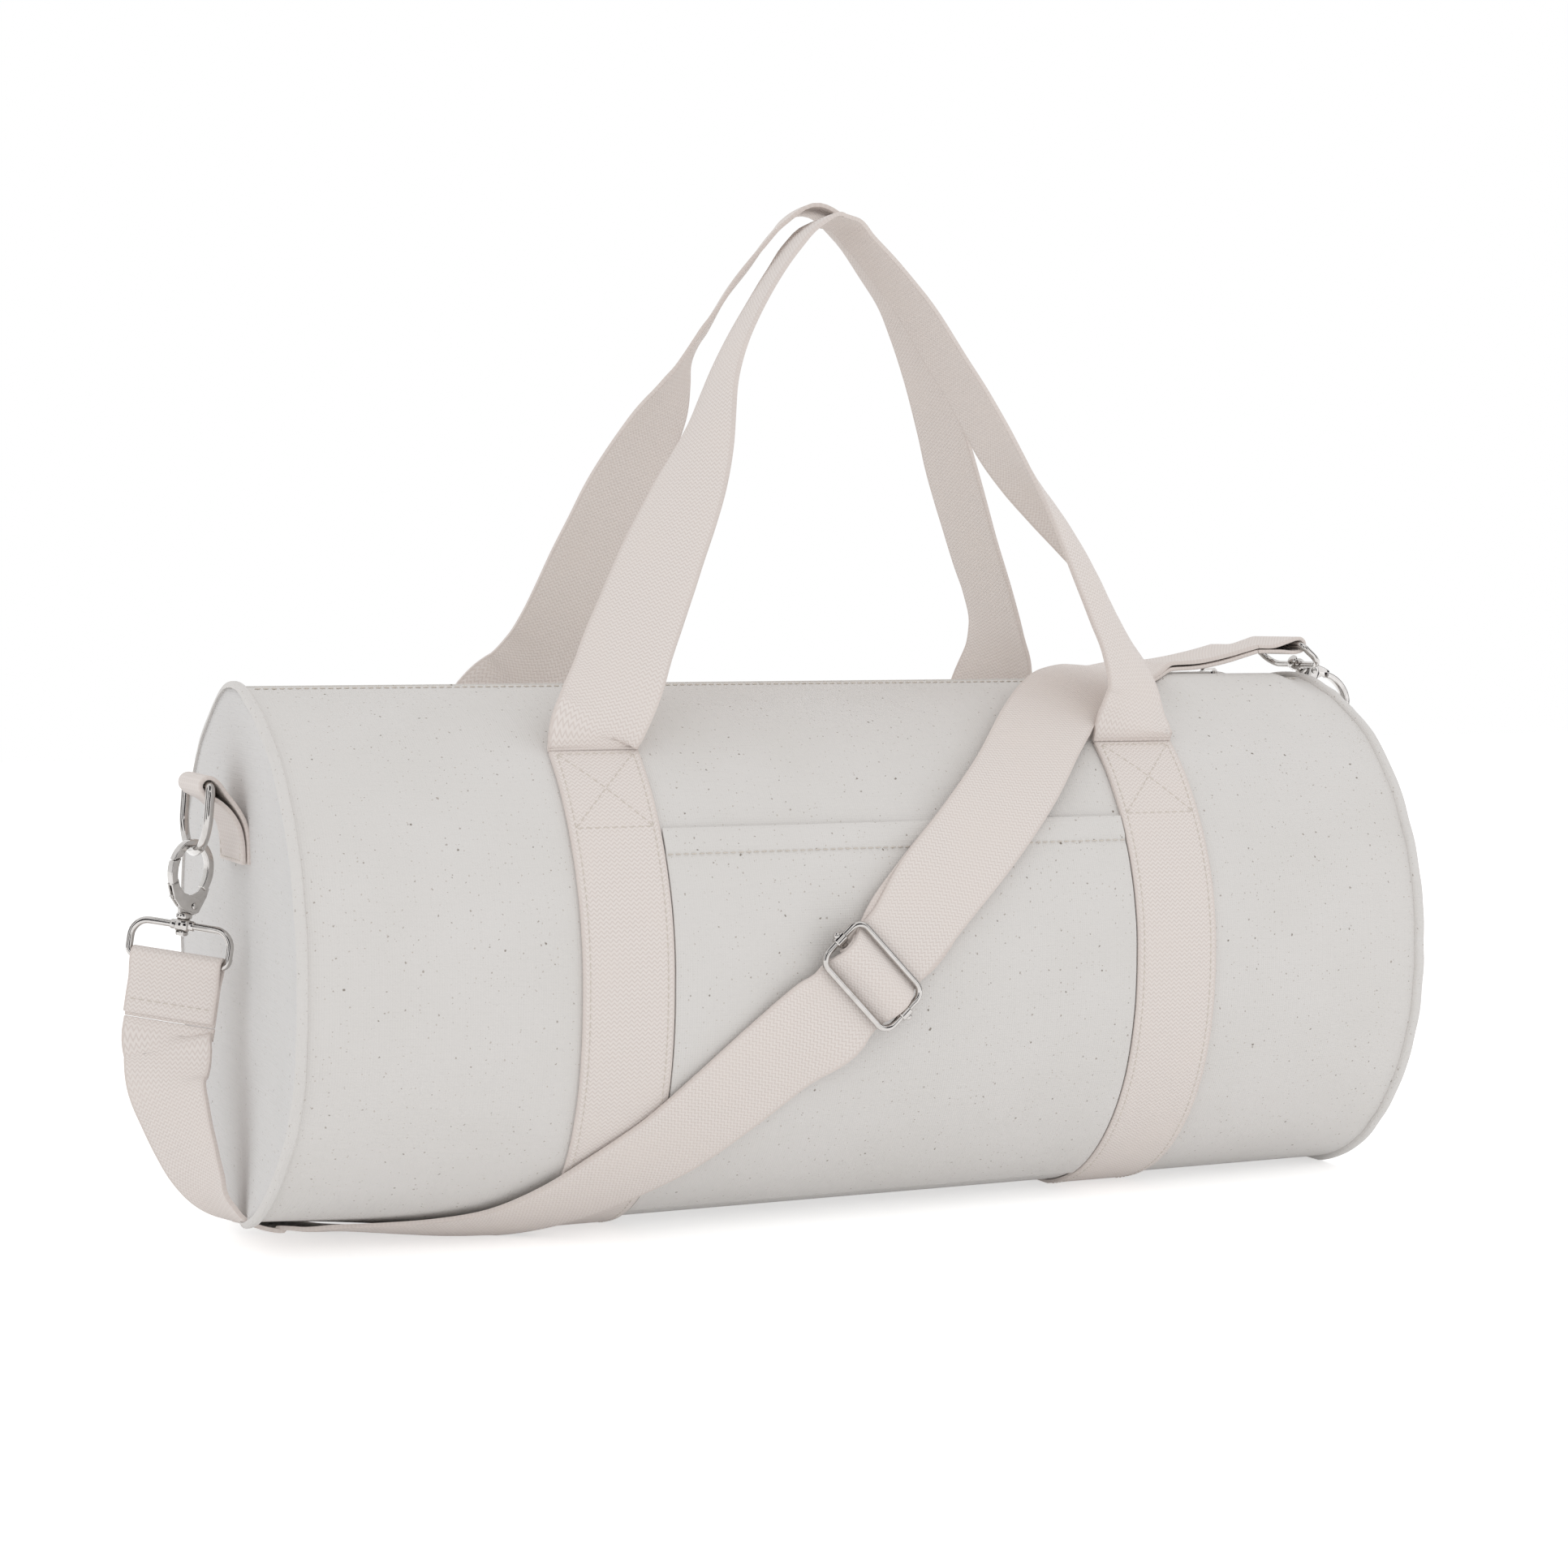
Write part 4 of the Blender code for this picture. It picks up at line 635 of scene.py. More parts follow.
# %% Turned seams
def lay_ridge(side, name):
    face = side * (HALF_LENGTH - SEAM_WIDTH / 2)
    rows = []
    for degrees in spread(0, 360, 240):
        c, s = compass(degrees)
        waver = noise.noise(Vector((c * 5.0, s * 5.0, side * 2.0)))
        lean = noise.noise(Vector((c * 3.0, s * 3.0, side * 5.0)))
        row = []
        for a, b in arc((0, 0), (SEAM_WIDTH / 2, SEAM_RISE), 0, 180, 10) + [(-SEAM_WIDTH / 2, -0.0006)]:
            height = b * (1.0 + 0.16 * waver) * (0.82 + 0.18 * abs(a) / (SEAM_WIDTH / 2))
            lowest = max(SEAM_RISE - b, 0.0)
            point = on_barrel(face, degrees, CLEARANCE + height, lowest)
            row.append(point + X_AXIS * (a + lean * 0.0004 * b / SEAM_RISE))
        foot = on_barrel(face, degrees, CLEARANCE - 0.0006, SEAM_RISE)
        row.append(foot + X_AXIS * SEAM_WIDTH / 2)
        row.append(row[0])
        rows.append(row)
    bm = bmesh.new()
    verts = lay_grid(bm, rows)
    bmesh.ops.remove_doubles(bm, verts=verts, dist=WELD)
    bmesh.ops.recalc_face_normals(bm, faces=bm.faces[:])
    finish(f"seam_cloth_{name}", bm, canvas, "bag", [f"seam_ridge_{name}"], 55.0)


for side, name in ENDS:
    lay_ridge(side, name)

# %% [markdown]
# ## Stitches
# Sewing shows as short raised threads in line, each a little sunk at its ends. One helper walks along
# a line of points and sets a small oval at every stitch, with only a few dozen faces, because there
# are over a thousand of them.

# %% Stitches
STITCH_PITCH = 0.0033
STITCH_LENGTH = 0.0026
THREAD = 0.00055


def small_oval(name, u_segments, v_segments):
    """One small ball of radius 1, made once, to be set many times over."""
    ball = bmesh.new()
    bmesh.ops.create_uvsphere(ball, u_segments=u_segments, v_segments=v_segments, radius=1.0)
    mesh = bpy.data.meshes.new(name)
    ball.to_mesh(mesh)
    ball.free()
    return mesh


def stamp(bm, pattern, place):
    """Adds a copy of a small mesh at a place."""
    copy = pattern.copy()
    copy.transform(place)
    bm.from_mesh(copy)
    bpy.data.meshes.remove(copy)


one_stitch = small_oval("one_stitch", 6, 4)


def sew(bm, points, normals):
    """Sets stitches along a line of points that has a way out at each point."""
    gaps = [(two - one).length for one, two in zip(points, points[1:])]
    count = max(int(sum(gaps) / STITCH_PITCH), 1)
    pitch = sum(gaps) / count
    for number in range(count):
        want, index = (number + 0.5) * pitch, 0
        while index < len(gaps) - 1 and want > gaps[index]:
            want -= gaps[index]
            index += 1
        share = want / gaps[index]
        middle = points[index].lerp(points[index + 1], share)
        line = (points[index + 1] - points[index]).normalized()
        out = normals[index].lerp(normals[index + 1], share)
        out = (out - line * out.dot(line)).normalized()
        sides = (line.cross(out) * THREAD / 2, out * THREAD * 0.6, line * STITCH_LENGTH / 2)
        turn = Matrix(sides).transposed()
        place = Matrix.Translation(middle) @ turn.to_4x4()
        stamp(bm, one_stitch, place)
    return count


def sew_on_barrel(bm, places, lift):
    """Sews along places on the barrel, given as x and angle."""
    points = [on_barrel(x, a, lift) for x, a in places]
    return sew(bm, points, [outward(x, a) for x, a in places])


# %% [markdown]
# ## Pocket, bands and their sewing
# The pocket is a rectangle between the bands, open along a hem that is folded inward and sewn. The
# bands are webbing, sewn down both edges all the way under the bag, and each ends at a square of
# stitching with a cross in it, which takes the handle's pull.

# %% Pocket and bands
POCKET_TOP_ANGLE = 31.0
HEM_ANGLE = 25.2
BOX_STITCH_INSET, ZIP_STITCH_INSET = 0.0028, 0.0038
reach = BAND_X - WEBBING_WIDTH / 2 - LAYER_GAP
rows = []
for degrees in spread(POCKET_TOP_ANGLE, -62.0, 62):
    lip = 0.0007 * ease(degrees, HEM_ANGLE - 0.6, HEM_ANGLE + 0.9)
    dip = 0.0004 * math.exp(-(((degrees - HEM_ANGLE) / 0.7) ** 2))
    lift = CLEARANCE + CANVAS / 2 + lip - dip
    rows.append([on_barrel(x, degrees, lift) for x in spread(-reach, reach, 70)])
cloth_piece("pocket_cloth", rows, canvas, "bag", ["pocket_panel"], CANVAS, 0.0003)

for side, name in ENDS:
    edges = spread(side * BAND_X - WEBBING_WIDTH / 2, side * BAND_X + WEBBING_WIDTH / 2, 10)
    rows = []
    for degrees in spread(BOX_TOP_ANGLE, -180 - BOX_TOP_ANGLE, 130):
        rows.append([on_barrel(x, degrees, CLEARANCE + WEBBING / 2, WEBBING / 2) for x in edges])
    webbing_piece(f"band_webbing_{name}", rows, "bag", [f"band_{name}"])

bm = bmesh.new()
seam = [(x, HEM_ANGLE) for x in spread(-reach, reach, 40)]
stitches = sew_on_barrel(bm, seam, CANVAS + CLEARANCE + 0.0003)
for side in (-1, 1):
    inset = WEBBING_WIDTH / 2 - BOX_STITCH_INSET
    left, right = side * BAND_X - inset, side * BAND_X + inset
    for x in (left, right):
        stitches += sew_on_barrel(bm, [(x, a) for a in spread(BOX_TOP_ANGLE - 1, -229, 130)], BAND_TOP)
    for mirror in (False, True):
        top, low = BOX_TOP_ANGLE - 1.0, BOX_BOTTOM_ANGLE
        top, low = (-180 - top, -180 - low) if mirror else (top, low)
        for line in (((left, top), (right, top)), ((left, low), (right, low)), ((left, top), (right, low))):
            (x1, a1), (x2, a2) = line
            stitches += sew_on_barrel(bm, list(zip(spread(x1, x2, 12), spread(a1, a2, 12))), BAND_TOP)
        stitches += sew_on_barrel(bm, list(zip(spread(left, right, 12), spread(low, top, 12))), BAND_TOP)
for side in (-1, 1):
    seam = []
    for x in spread(-0.243, 0.243, 80):
        seam.append((x, 90 + side * (90 - angle_above(x, ZIP_HALF_OPENING + ZIP_STITCH_INSET))))
    stitches += sew_on_barrel(bm, seam, 0.0004)
finish("bag_stitches", bm, thread, "bag", (), 180.0)
print("stitches:", stitches)

# %% [markdown]
# ## The zip
# Two woven tapes hold the coils. A nylon coil is a spiral sewn along each tape's edge, and closed it
# reads as one row of close teeth, so each turn is an oval that reaches across the join. The slider,
# its puller and the stops keep their solids and only get the nickel.

# %% Zip
CHAIN_END = 0.2085
ZIP_END = 0.2452
TAPE = 0.0008
TAPE_EDGE, TAPE_HEM = 0.00355, 0.0155
COIL_OFFSET = 0.00165
COIL_WIDTH = 0.0031
COIL_HEIGHT = 0.0022
ZIP_LEVEL = TOP_HEIGHT - CANVAS - CLEARANCE - TAPE / 2
TOOTH_PITCH = 0.00155
teeth = int((CHAIN_END + ZIP_END) / TOOTH_PITCH)
one_turn = small_oval("one_turn", 8, 6)
for side, name in ((-1, "front"), (1, "back")):
    rows = []
    for share in spread(0, 1, 8):
        away = TAPE_EDGE + (TAPE_HEM - TAPE_EDGE) * share
        row = []
        for x in spread(-ZIP_END, ZIP_END, 120):
            point = on_barrel(x, angle_above(x, away), -CANVAS - CLEARANCE - TAPE / 2)
            row.append(Vector((point.x, -side * point.y, point.z)))
        rows.append(row)
    cloth_piece(f"tape_cloth_{name}", rows, tape_cloth, "bag", [f"zip_tape_{name}"], TAPE)
    bm = bmesh.new()
    for number in range(teeth):
        x = -ZIP_END + (number + (0.25 if side < 0 else 0.75)) * TOOTH_PITCH
        place = Matrix.Translation((x, side * COIL_OFFSET, ZIP_LEVEL))
        size = Matrix.Diagonal((TOOTH_PITCH * 0.36, COIL_WIDTH / 2, COIL_HEIGHT / 2, 1.0))
        stamp(bm, one_turn, place @ size)
    finish(f"coil_turns_{name}", bm, nylon, "bag", [f"zip_coil_{name}"], 180.0)
for pattern in (one_stitch, one_turn):
    print(pattern.name, "has", len(pattern.polygons), "faces")
print("turns of coil:", 2 * teeth)

# %% [markdown]
# ## Metal pieces
# Rings and loops are bent wire. The hook is cast, so its parts are flat outlines with depth and well
# rounded edges. A helper extrudes an outline and bevels every sharp edge, and the places of all the
# pieces follow from how each one hangs in the next.

# %% Helpers for metal
HOOK_WIDTH, HOOK_ARM, HOOK_DEPTH = 0.0184, 0.0028, 0.0044
EYE_BOTTOM, EYE_TOP = 0.0122, 0.0321
HOOK_WEB = 0.0020
GATE_JOINT_LEAN = 14.0
RING_WIRE, LOOP_WIRE = 0.0038, 0.0030
LOOP_DROP, LOOP_WIDTH = 0.0145, 0.0418
LOOP_SHOULDER, LOOP_CORNER = 0.0070, 0.0030
COLLAR_HEIGHT, COLLAR_LENGTH = 0.0050, 0.0096


def join(bm, part, place):
    """Adds a part, made by itself at the origin, to the whole at its place."""
    mesh = bpy.data.meshes.new("part")
    part.to_mesh(mesh)
    part.free()
    mesh.transform(place)
    bm.from_mesh(mesh)
    bpy.data.meshes.remove(mesh)


def plate(bm, outline, depth, place, rounding=0.0005, shift=0.0):
    """An outline of (across, up) points, given depth along Y, with every sharp edge rounded."""
    part = bmesh.new()
    face = part.faces.new([part.verts.new((x, shift - depth / 2, z)) for x, z in outline])
    moved = bmesh.ops.extrude_face_region(part, geom=[face], use_keep_orig=True)["geom"]
    far = [piece for piece in moved if isinstance(piece, bmesh.types.BMVert)]
    bmesh.ops.translate(part, verts=far, vec=(0, depth, 0))
    bmesh.ops.recalc_face_normals(part, faces=part.faces[:])
    rims = [edge for edge in part.edges if edge.calc_face_angle(0.0) > math.radians(32)]
    inputs = {"offset": rounding, "segments": 3, "profile": 0.5, "affect": "EDGES", "material": -1}
    bmesh.ops.bevel(part, geom=rims, clamp_overlap=True, **inputs)
    join(bm, part, place)


def turned(bm, profile, place, steps=20):
    """A profile of (radius, height) points spun about Z, closed at both ends."""
    part = bmesh.new()
    run = [(0.0, profile[0][1]), *profile, (0.0, profile[-1][1])]
    line = [part.verts.new((radius, 0, height)) for radius, height in run]
    edges = [part.edges.new(pair) for pair in zip(line, line[1:])]
    spin = {"cent": (0, 0, 0), "axis": (0, 0, 1), "angle": math.tau, "steps": steps, "use_merge": True}
    bmesh.ops.spin(part, geom=line + edges, **spin)
    bmesh.ops.remove_doubles(part, verts=part.verts[:], dist=WELD)
    bmesh.ops.recalc_face_normals(part, faces=part.faces[:])
    join(bm, part, place)


def both_ways(profile):
    """A profile that is the same below its middle as above it."""
    return [(radius, -height) for radius, height in profile[::-1]] + profile


def eye_arc(offset, start, end, steps):
    """Part of the hook's oval, offset from the middle line of its arm."""
    across = (HOOK_WIDTH - HOOK_ARM) / 2 + offset
    up = (EYE_TOP - EYE_BOTTOM) / 2 + HOOK_ARM / 2 + offset
    return arc((0, (EYE_TOP + EYE_BOTTOM) / 2), (across, up), start, end, steps)


def arm_outline(start, end, steps):
    """A curved arm whose far end is cut on a slant, as where the gate meets the hook."""
    inner = end - GATE_JOINT_LEAN
    return eye_arc(HOOK_ARM / 2, start, end, steps) + eye_arc(-HOOK_ARM / 2, inner, start, steps)


def axes(origin, x_axis, z_axis):
    """A place whose Z runs along z_axis and whose X is as near to x_axis as it can be."""
    z = z_axis.normalized()
    x = (x_axis - z * x_axis.dot(z)).normalized()
    place = Matrix((x, z.cross(x), z)).transposed().to_4x4()
    place.translation = origin
    return place


def lean(side, degrees):
    a = math.radians(degrees)
    return Vector((side * math.sin(a), 0, -math.cos(a)))


def chain_places(side, ring_lean, hook_lean, hook_turn, loop_turn):
    """The places of a ring, its hook's collar and its loop, from the tab down to the strap."""
    bar = Vector((side * RING_BAR_X, 0, RING_BAR_HEIGHT))
    down = lean(side, ring_lean)
    ring = axes(bar, Vector((-side * down.z, 0, side * down.x)), -down)
    seat = bar + down * RING_DROP
    hook_down = lean(side, hook_lean)
    a = math.radians(hook_lean)
    hook = axes(seat, Vector((-side * math.cos(a), 0, -math.sin(a))), -hook_down)
    wire_seat = EYE_TOP - CLEARANCE - RING_WIRE / 2
    hook = hook @ Matrix.Rotation(math.radians(hook_turn), 4, "Z") @ Matrix.Translation((0, 0, -wire_seat))
    a = math.radians(loop_turn)
    width = Vector((math.cos(a), -math.sin(a), 0))
    return ring, hook, axes(seat + hook_down * wire_seat, width, -hook_down)


CHAINS = {"left": chain_places(-1, 5, 9, 14, 32), "right": chain_places(1, 159, 230, 0, 90)}
print("left loop at", [round(value, 4) for value in CHAINS["left"][2].translation])

# %% [markdown]
# The ring is a D of wire: a straight bar in the tab and a round end below it. The loop has a collar
# that the hook's stem turns in, and its shoulders are bent wider than its lower corners, which hold
# the webbing flat.


# %% Rings and loops
def ring_line():
    half, corner = 0.0215, 0.0035
    waist = RING_DROP * 0.42
    points = arc((half - corner, -corner), (corner, corner), 0, 90, 6)
    points += arc((-half + corner, -corner), (corner, corner), 90, 180, 6)
    return points + arc((0, -waist), (half, RING_DROP - waist), 180, 360, 36)[:-1]


def loop_line():
    points = []
    upper, lower = (-LOOP_SHOULDER, LOOP_SHOULDER, 9), (LOOP_CORNER - LOOP_DROP, LOOP_CORNER, 7)
    for start, sx, (z, bend, steps) in ((0, 1, upper), (90, -1, upper), (180, -1, lower), (270, 1, lower)):
        points += arc((sx * (LOOP_WIDTH / 2 - bend), z), (bend, bend), start, start + 90, steps)
    return points


def space_out(points, gap=0.0022):
    """Adds points along the long straight runs, so that the wire's sides stay even."""
    made = []
    for one, two in zip(points, points[1:] + points[:1]):
        count = max(round((two - one).length / gap), 1)
        made += [one.lerp(two, step / count) for step in range(count)]
    return made


for name, (ring, hook, loop) in CHAINS.items():
    bm = bmesh.new()
    wire(bm, space_out([ring @ Vector((0, y, z)) for y, z in ring_line()]), RING_WIRE, 18)
    finish(f"ring_wire_{name}", bm, nickel, f"{name}_ring", [f"ring_{name}"])
    bm = bmesh.new()
    wire(bm, space_out([loop @ Vector((x, 0, z)) for x, z in loop_line()]), LOOP_WIRE, 16)
    lying = loop @ Matrix.Rotation(math.radians(90), 4, "Y")
    half, shoulder, lobe, full = COLLAR_LENGTH / 2, 0.0026, 0.0019, 0.0029
    profile = [(full, shoulder - 0.0005), (full - 0.0004, shoulder), (lobe + 0.0002, shoulder + 0.0004)]
    profile += [(lobe + 0.0002, half - 0.0004), (lobe, half)]
    turned(bm, both_ways(profile), lying)
    finish(f"loop_wire_{name}", bm, nickel, f"{name}_loop", [f"loop_{name}"])

# %% [markdown]
# The hook is an oval eye with a sprung gate for its outer side. The fixed arm, the web below it, the
# neck and the stem are one casting. The gate is an arm with two cheeks that straddle the web and
# turn on a rivet, and a small coil spring inside holds it shut.

# %% Hooks, gates, rivets and springs
WEB_SHARES = ((-0.28, 0.33), (0.28, 0.33), (0.62, 0.45), (0.76, 0.72), (0.90, 1.00), (0.97, 1.28))
WEB_SHARES += ((0.66, 1.42), (0.46, 1.15), (0.16, 1.01), (-0.24, 0.96), (-0.34, 0.62))
CHEEK_SHARES = ((-0.62, 1.50), (-0.50, 1.26), (-0.24, 1.06), (0.14, 0.99), (0.44, 0.93))
CHEEK_BACK_SHARES = ((0.00, 0.46), (-0.34, 0.57), (-0.68, 0.84), (-0.92, 1.30))
PIVOT = (0.0030, 0.0081)
PIVOT_PLACE = Matrix.Translation((PIVOT[0], 0, PIVOT[1])) @ Matrix.Rotation(math.radians(90), 4, "X")


def scaled(shares):
    return [(x * HOOK_WIDTH / 2, z * EYE_BOTTOM) for x, z in shares]


for name, (ring, hook, loop) in CHAINS.items():
    foot = COLLAR_HEIGHT / 2 + CLEARANCE
    bm = bmesh.new()
    profile = [(0.0014, -foot - 0.0016), (0.0023, -foot - 0.0013)]
    profile += [(0.0026, -foot - 0.0007), (0.0026, -foot)]
    profile += [(0.0015, -foot), (0.0015, foot), (0.0030, foot), (0.0033, foot + 0.0004)]
    profile += [(0.0033, foot + 0.0013), (0.0030, foot + 0.0018), (0.0022, foot + 0.0024)]
    turned(bm, profile, hook)
    plate(bm, scaled(WEB_SHARES), HOOK_WEB, hook, 0.0003)
    plate(bm, arm_outline(-38, 165, 40), HOOK_DEPTH, hook, 0.0009)
    finish(f"hook_cast_{name}", bm, nickel, f"{name}_hook", [f"hook_{name}"])
    bm = bmesh.new()
    plate(bm, arm_outline(214, 167, 14), HOOK_DEPTH, hook, 0.0009)
    cheek = (HOOK_DEPTH - HOOK_WEB) / 2 - CLEARANCE
    boss = arc(PIVOT, (0.0027, 0.0027), 45, -125, 12)
    for turn in (-1, 1):
        shift = turn * (HOOK_WEB / 2 + CLEARANCE + cheek / 2)
        plate(bm, scaled(CHEEK_SHARES) + boss + scaled(CHEEK_BACK_SHARES), cheek, hook, 0.00025, shift)
    finish(f"gate_cast_{name}", bm, nickel, f"{name}_gate", [f"gate_{name}"])
    bm = bmesh.new()
    half = HOOK_DEPTH / 2 + CLEARANCE
    head = [(0.0008, half), (0.0013, half), (0.0013, half + 0.0002), (0.0009, half + 0.0005)]
    turned(bm, both_ways(head), hook @ PIVOT_PLACE, 16)
    finish(f"rivet_{name}", bm, nickel, f"{name}_hook", [f"gate_rivet_{name}"])

KEPT_SOLIDS = ("gate_spring_left", "gate_spring_right", "zip_slider", "zip_puller")
KEPT_SOLIDS += ("zip_stop_front", "zip_stop_back")
for name in KEPT_SOLIDS:
    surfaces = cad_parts[name].data.materials
    surfaces.clear()
    surfaces.append(nickel)

# %% [markdown]
# ## The tabs
# Each tab is a short strip of webbing that goes round the ring's bar and is sewn through both of its
# layers to the end panel.

# %% Tabs
TAB_HALF_BOX, TAB_BOX_LOW, TAB_BOX_TOP = 0.0165, 0.1545, 0.1690
TAB_INNER = (
    (0.0, 0.153), (0.0, 0.158), (0.0002, 0.1635), (0.0016, 0.170), (0.0050, 0.1762), (0.0088, 0.1812),
)
TAB_OUTER = (
    (0.0093, 0.1782), (0.0048, 0.1738), (0.0016, 0.1682), (0.0003, 0.1625), (0.0, 0.158), (0.0, 0.153),
)


def across_rows(path, across, share=1.0):
    """Rows of points for webbing that keeps one way across it all along its path."""
    reaches = spread(-WEBBING_WIDTH * share / 2, WEBBING_WIDTH * share / 2, 8)
    return [[point + across * reach for reach in reaches] for point in path]


def tab_path(side):
    panel = HALF_LENGTH - SEAM_WIDTH / 2 + CANVAS
    first = CLEARANCE + WEBBING / 2
    second = first + LAYER
    turn = RING_WIRE / 2 + LAYER_GAP + WEBBING / 2
    bar = RING_BAR_X - panel
    points = [(first + out, height) for out, height in TAB_INNER]
    points += arc((bar, RING_BAR_HEIGHT), (turn, turn), 135, -45, 6)
    points += [(second + out, height) for out, height in TAB_OUTER]
    return [Vector((side * (panel + out), 0, height)) for out, height in smooth_path(points, 5)]


bm = bmesh.new()
for side, name in ENDS:
    path = tab_path(side)
    webbing_piece(f"tab_webbing_{name}", across_rows(path, Y_AXIS), "bag", [f"tab_{name}"])
    outer = max(abs(point.x) for point in path[-6:]) + WEBBING / 2
    corners = [(-TAB_HALF_BOX, TAB_BOX_LOW), (TAB_HALF_BOX, TAB_BOX_LOW)]
    corners += [(TAB_HALF_BOX, TAB_BOX_TOP), (-TAB_HALF_BOX, TAB_BOX_TOP)]
    for (y1, z1), (y2, z2) in zip(corners, corners[1:] + corners[:1]):
        points = [Vector((side * outer, y, z)) for y, z in zip(spread(y1, y2, 8), spread(z1, z2, 8))]
        sew(bm, points, [X_AXIS * side] * len(points))
finish("tab_stitches", bm, thread, "bag", (), 180.0)

# %% [markdown]
# ## The handles
# A handle's middle line was read from the photograph, station by station: how far it is along the
# bag, up and away from the middle, the angle to which the webbing turns there, and by how many
# millimetres its width curls. A smooth path through the stations gives it the easy twist.

# %% Handles
FRONT_HANDLE_SHARES = (
    (-0.999, 0.030, 1.012, 0, 0), (-0.965, 0.062, 0.985, -14, 0.6), (-0.903, 0.118, 0.920, -27, 0.6),
    (-0.852, 0.174, 0.846, -36, 0.8), (-0.794, 0.231, 0.772, -41, 1), (-0.739, 0.288, 0.713, -45, 1),
    (-0.683, 0.346, 0.654, -50, 1), (-0.623, 0.404, 0.596, -56, 1.2), (-0.565, 0.463, 0.537, -63, 1.5),
    (-0.512, 0.523, 0.481, -73, 2), (-0.466, 0.582, 0.423, -84, 2.5), (-0.422, 0.643, 0.363, -92, 2.5),
    (-0.369, 0.703, 0.307, -96, 2), (-0.304, 0.763, 0.260, -98, 1.6), (-0.228, 0.822, 0.208, -99, 1.4),
    (-0.136, 0.885, 0.151, -98, 1.2), (-0.040, 0.940, 0.100, -95, 1), (0.048, 0.968, 0.070, -91, 0.6),
    (0.115, 0.962, 0.085, -86, 0.6), (0.173, 0.929, 0.112, -84, 0.6), (0.264, 0.869, 0.169, -86, 0.6),
    (0.347, 0.809, 0.223, -87, 0.6), (0.445, 0.718, 0.296, -89, 0.6), (0.510, 0.658, 0.349, -89, 0.6),
    (0.566, 0.597, 0.408, -90, 0.8), (0.621, 0.536, 0.468, -90, 2), (0.684, 0.475, 0.527, -86, 5),
    (0.751, 0.414, 0.586, -78, 7.5), (0.817, 0.353, 0.647, -68, 8), (0.880, 0.292, 0.710, -58, 7),
    (0.938, 0.230, 0.773, -50, 5), (0.985, 0.169, 0.852, -43, 3), (1.011, 0.122, 0.914, -34, 1.5),
    (1.020, 0.081, 0.955, -25, 0.8), (1.010, 0.045, 1.000, -10, 0.4), (1.001, 0.022, 1.016, 0, 0),
)
BACK_HANDLE_SHARES = (
    (-0.999, 0.030, 1.012, 0, 0), (-0.950, 0.070, 0.985, -2, 0.6), (-0.880, 0.100, 0.935, -4, 0.6),
    (-0.808, 0.147, 0.885, -5, 0.6), (-0.760, 0.199, 0.818, -8, 0.6), (-0.714, 0.261, 0.743, -9, 0.8),
    (-0.670, 0.323, 0.679, -10, 1), (-0.626, 0.384, 0.616, -14, 1), (-0.582, 0.446, 0.554, -18, 1),
    (-0.531, 0.507, 0.493, -24, 1), (-0.479, 0.568, 0.432, -33, 1), (-0.425, 0.629, 0.371, -44, 0.6),
    (-0.394, 0.674, 0.330, -56, 0.6), (-0.370, 0.710, 0.300, -66, 0.6), (-0.331, 0.752, 0.268, -71, 0.6),
    (-0.296, 0.781, 0.242, -72, 0.6), (-0.228, 0.844, 0.194, -74, 0.6), (-0.142, 0.905, 0.149, -75, 0.6),
    (-0.070, 0.955, 0.110, -78, 0.6), (0.010, 0.992, 0.080, -86, 0.6), (0.100, 0.990, 0.085, -96, 0.6),
    (0.212, 0.947, 0.119, -100, 0.6), (0.329, 0.884, 0.163, -98, 0.6), (0.431, 0.826, 0.206, -94, 0.6),
    (0.504, 0.766, 0.254, -90, 0.6), (0.565, 0.705, 0.305, -88, 0.6), (0.620, 0.644, 0.356, -86, 0.6),
    (0.674, 0.582, 0.418, -84, 0.6), (0.725, 0.519, 0.481, -82, 0.6), (0.779, 0.456, 0.544, -82, 0.6),
    (0.836, 0.392, 0.608, -83, 0.6), (0.896, 0.328, 0.674, -83, 0.6), (0.958, 0.263, 0.741, -84, 0.6),
    (1.012, 0.197, 0.821, -80, 0.6), (1.036, 0.150, 0.885, -66, 0.6), (1.034, 0.100, 0.950, -40, 0.6),
    (1.015, 0.055, 1.000, -12, 0.6), (1.000, 0.025, 1.012, 0, 0),
)
HANDLE_RISE = 0.230
HANDLE_FOOT = 0.0015
APEX_GAP = 0.0042


def plain_point(x, degrees, lift):
    """A place off the full outline, before the canvas falls in."""
    return outline_point(x, degrees) + outward(x, degrees) * lift


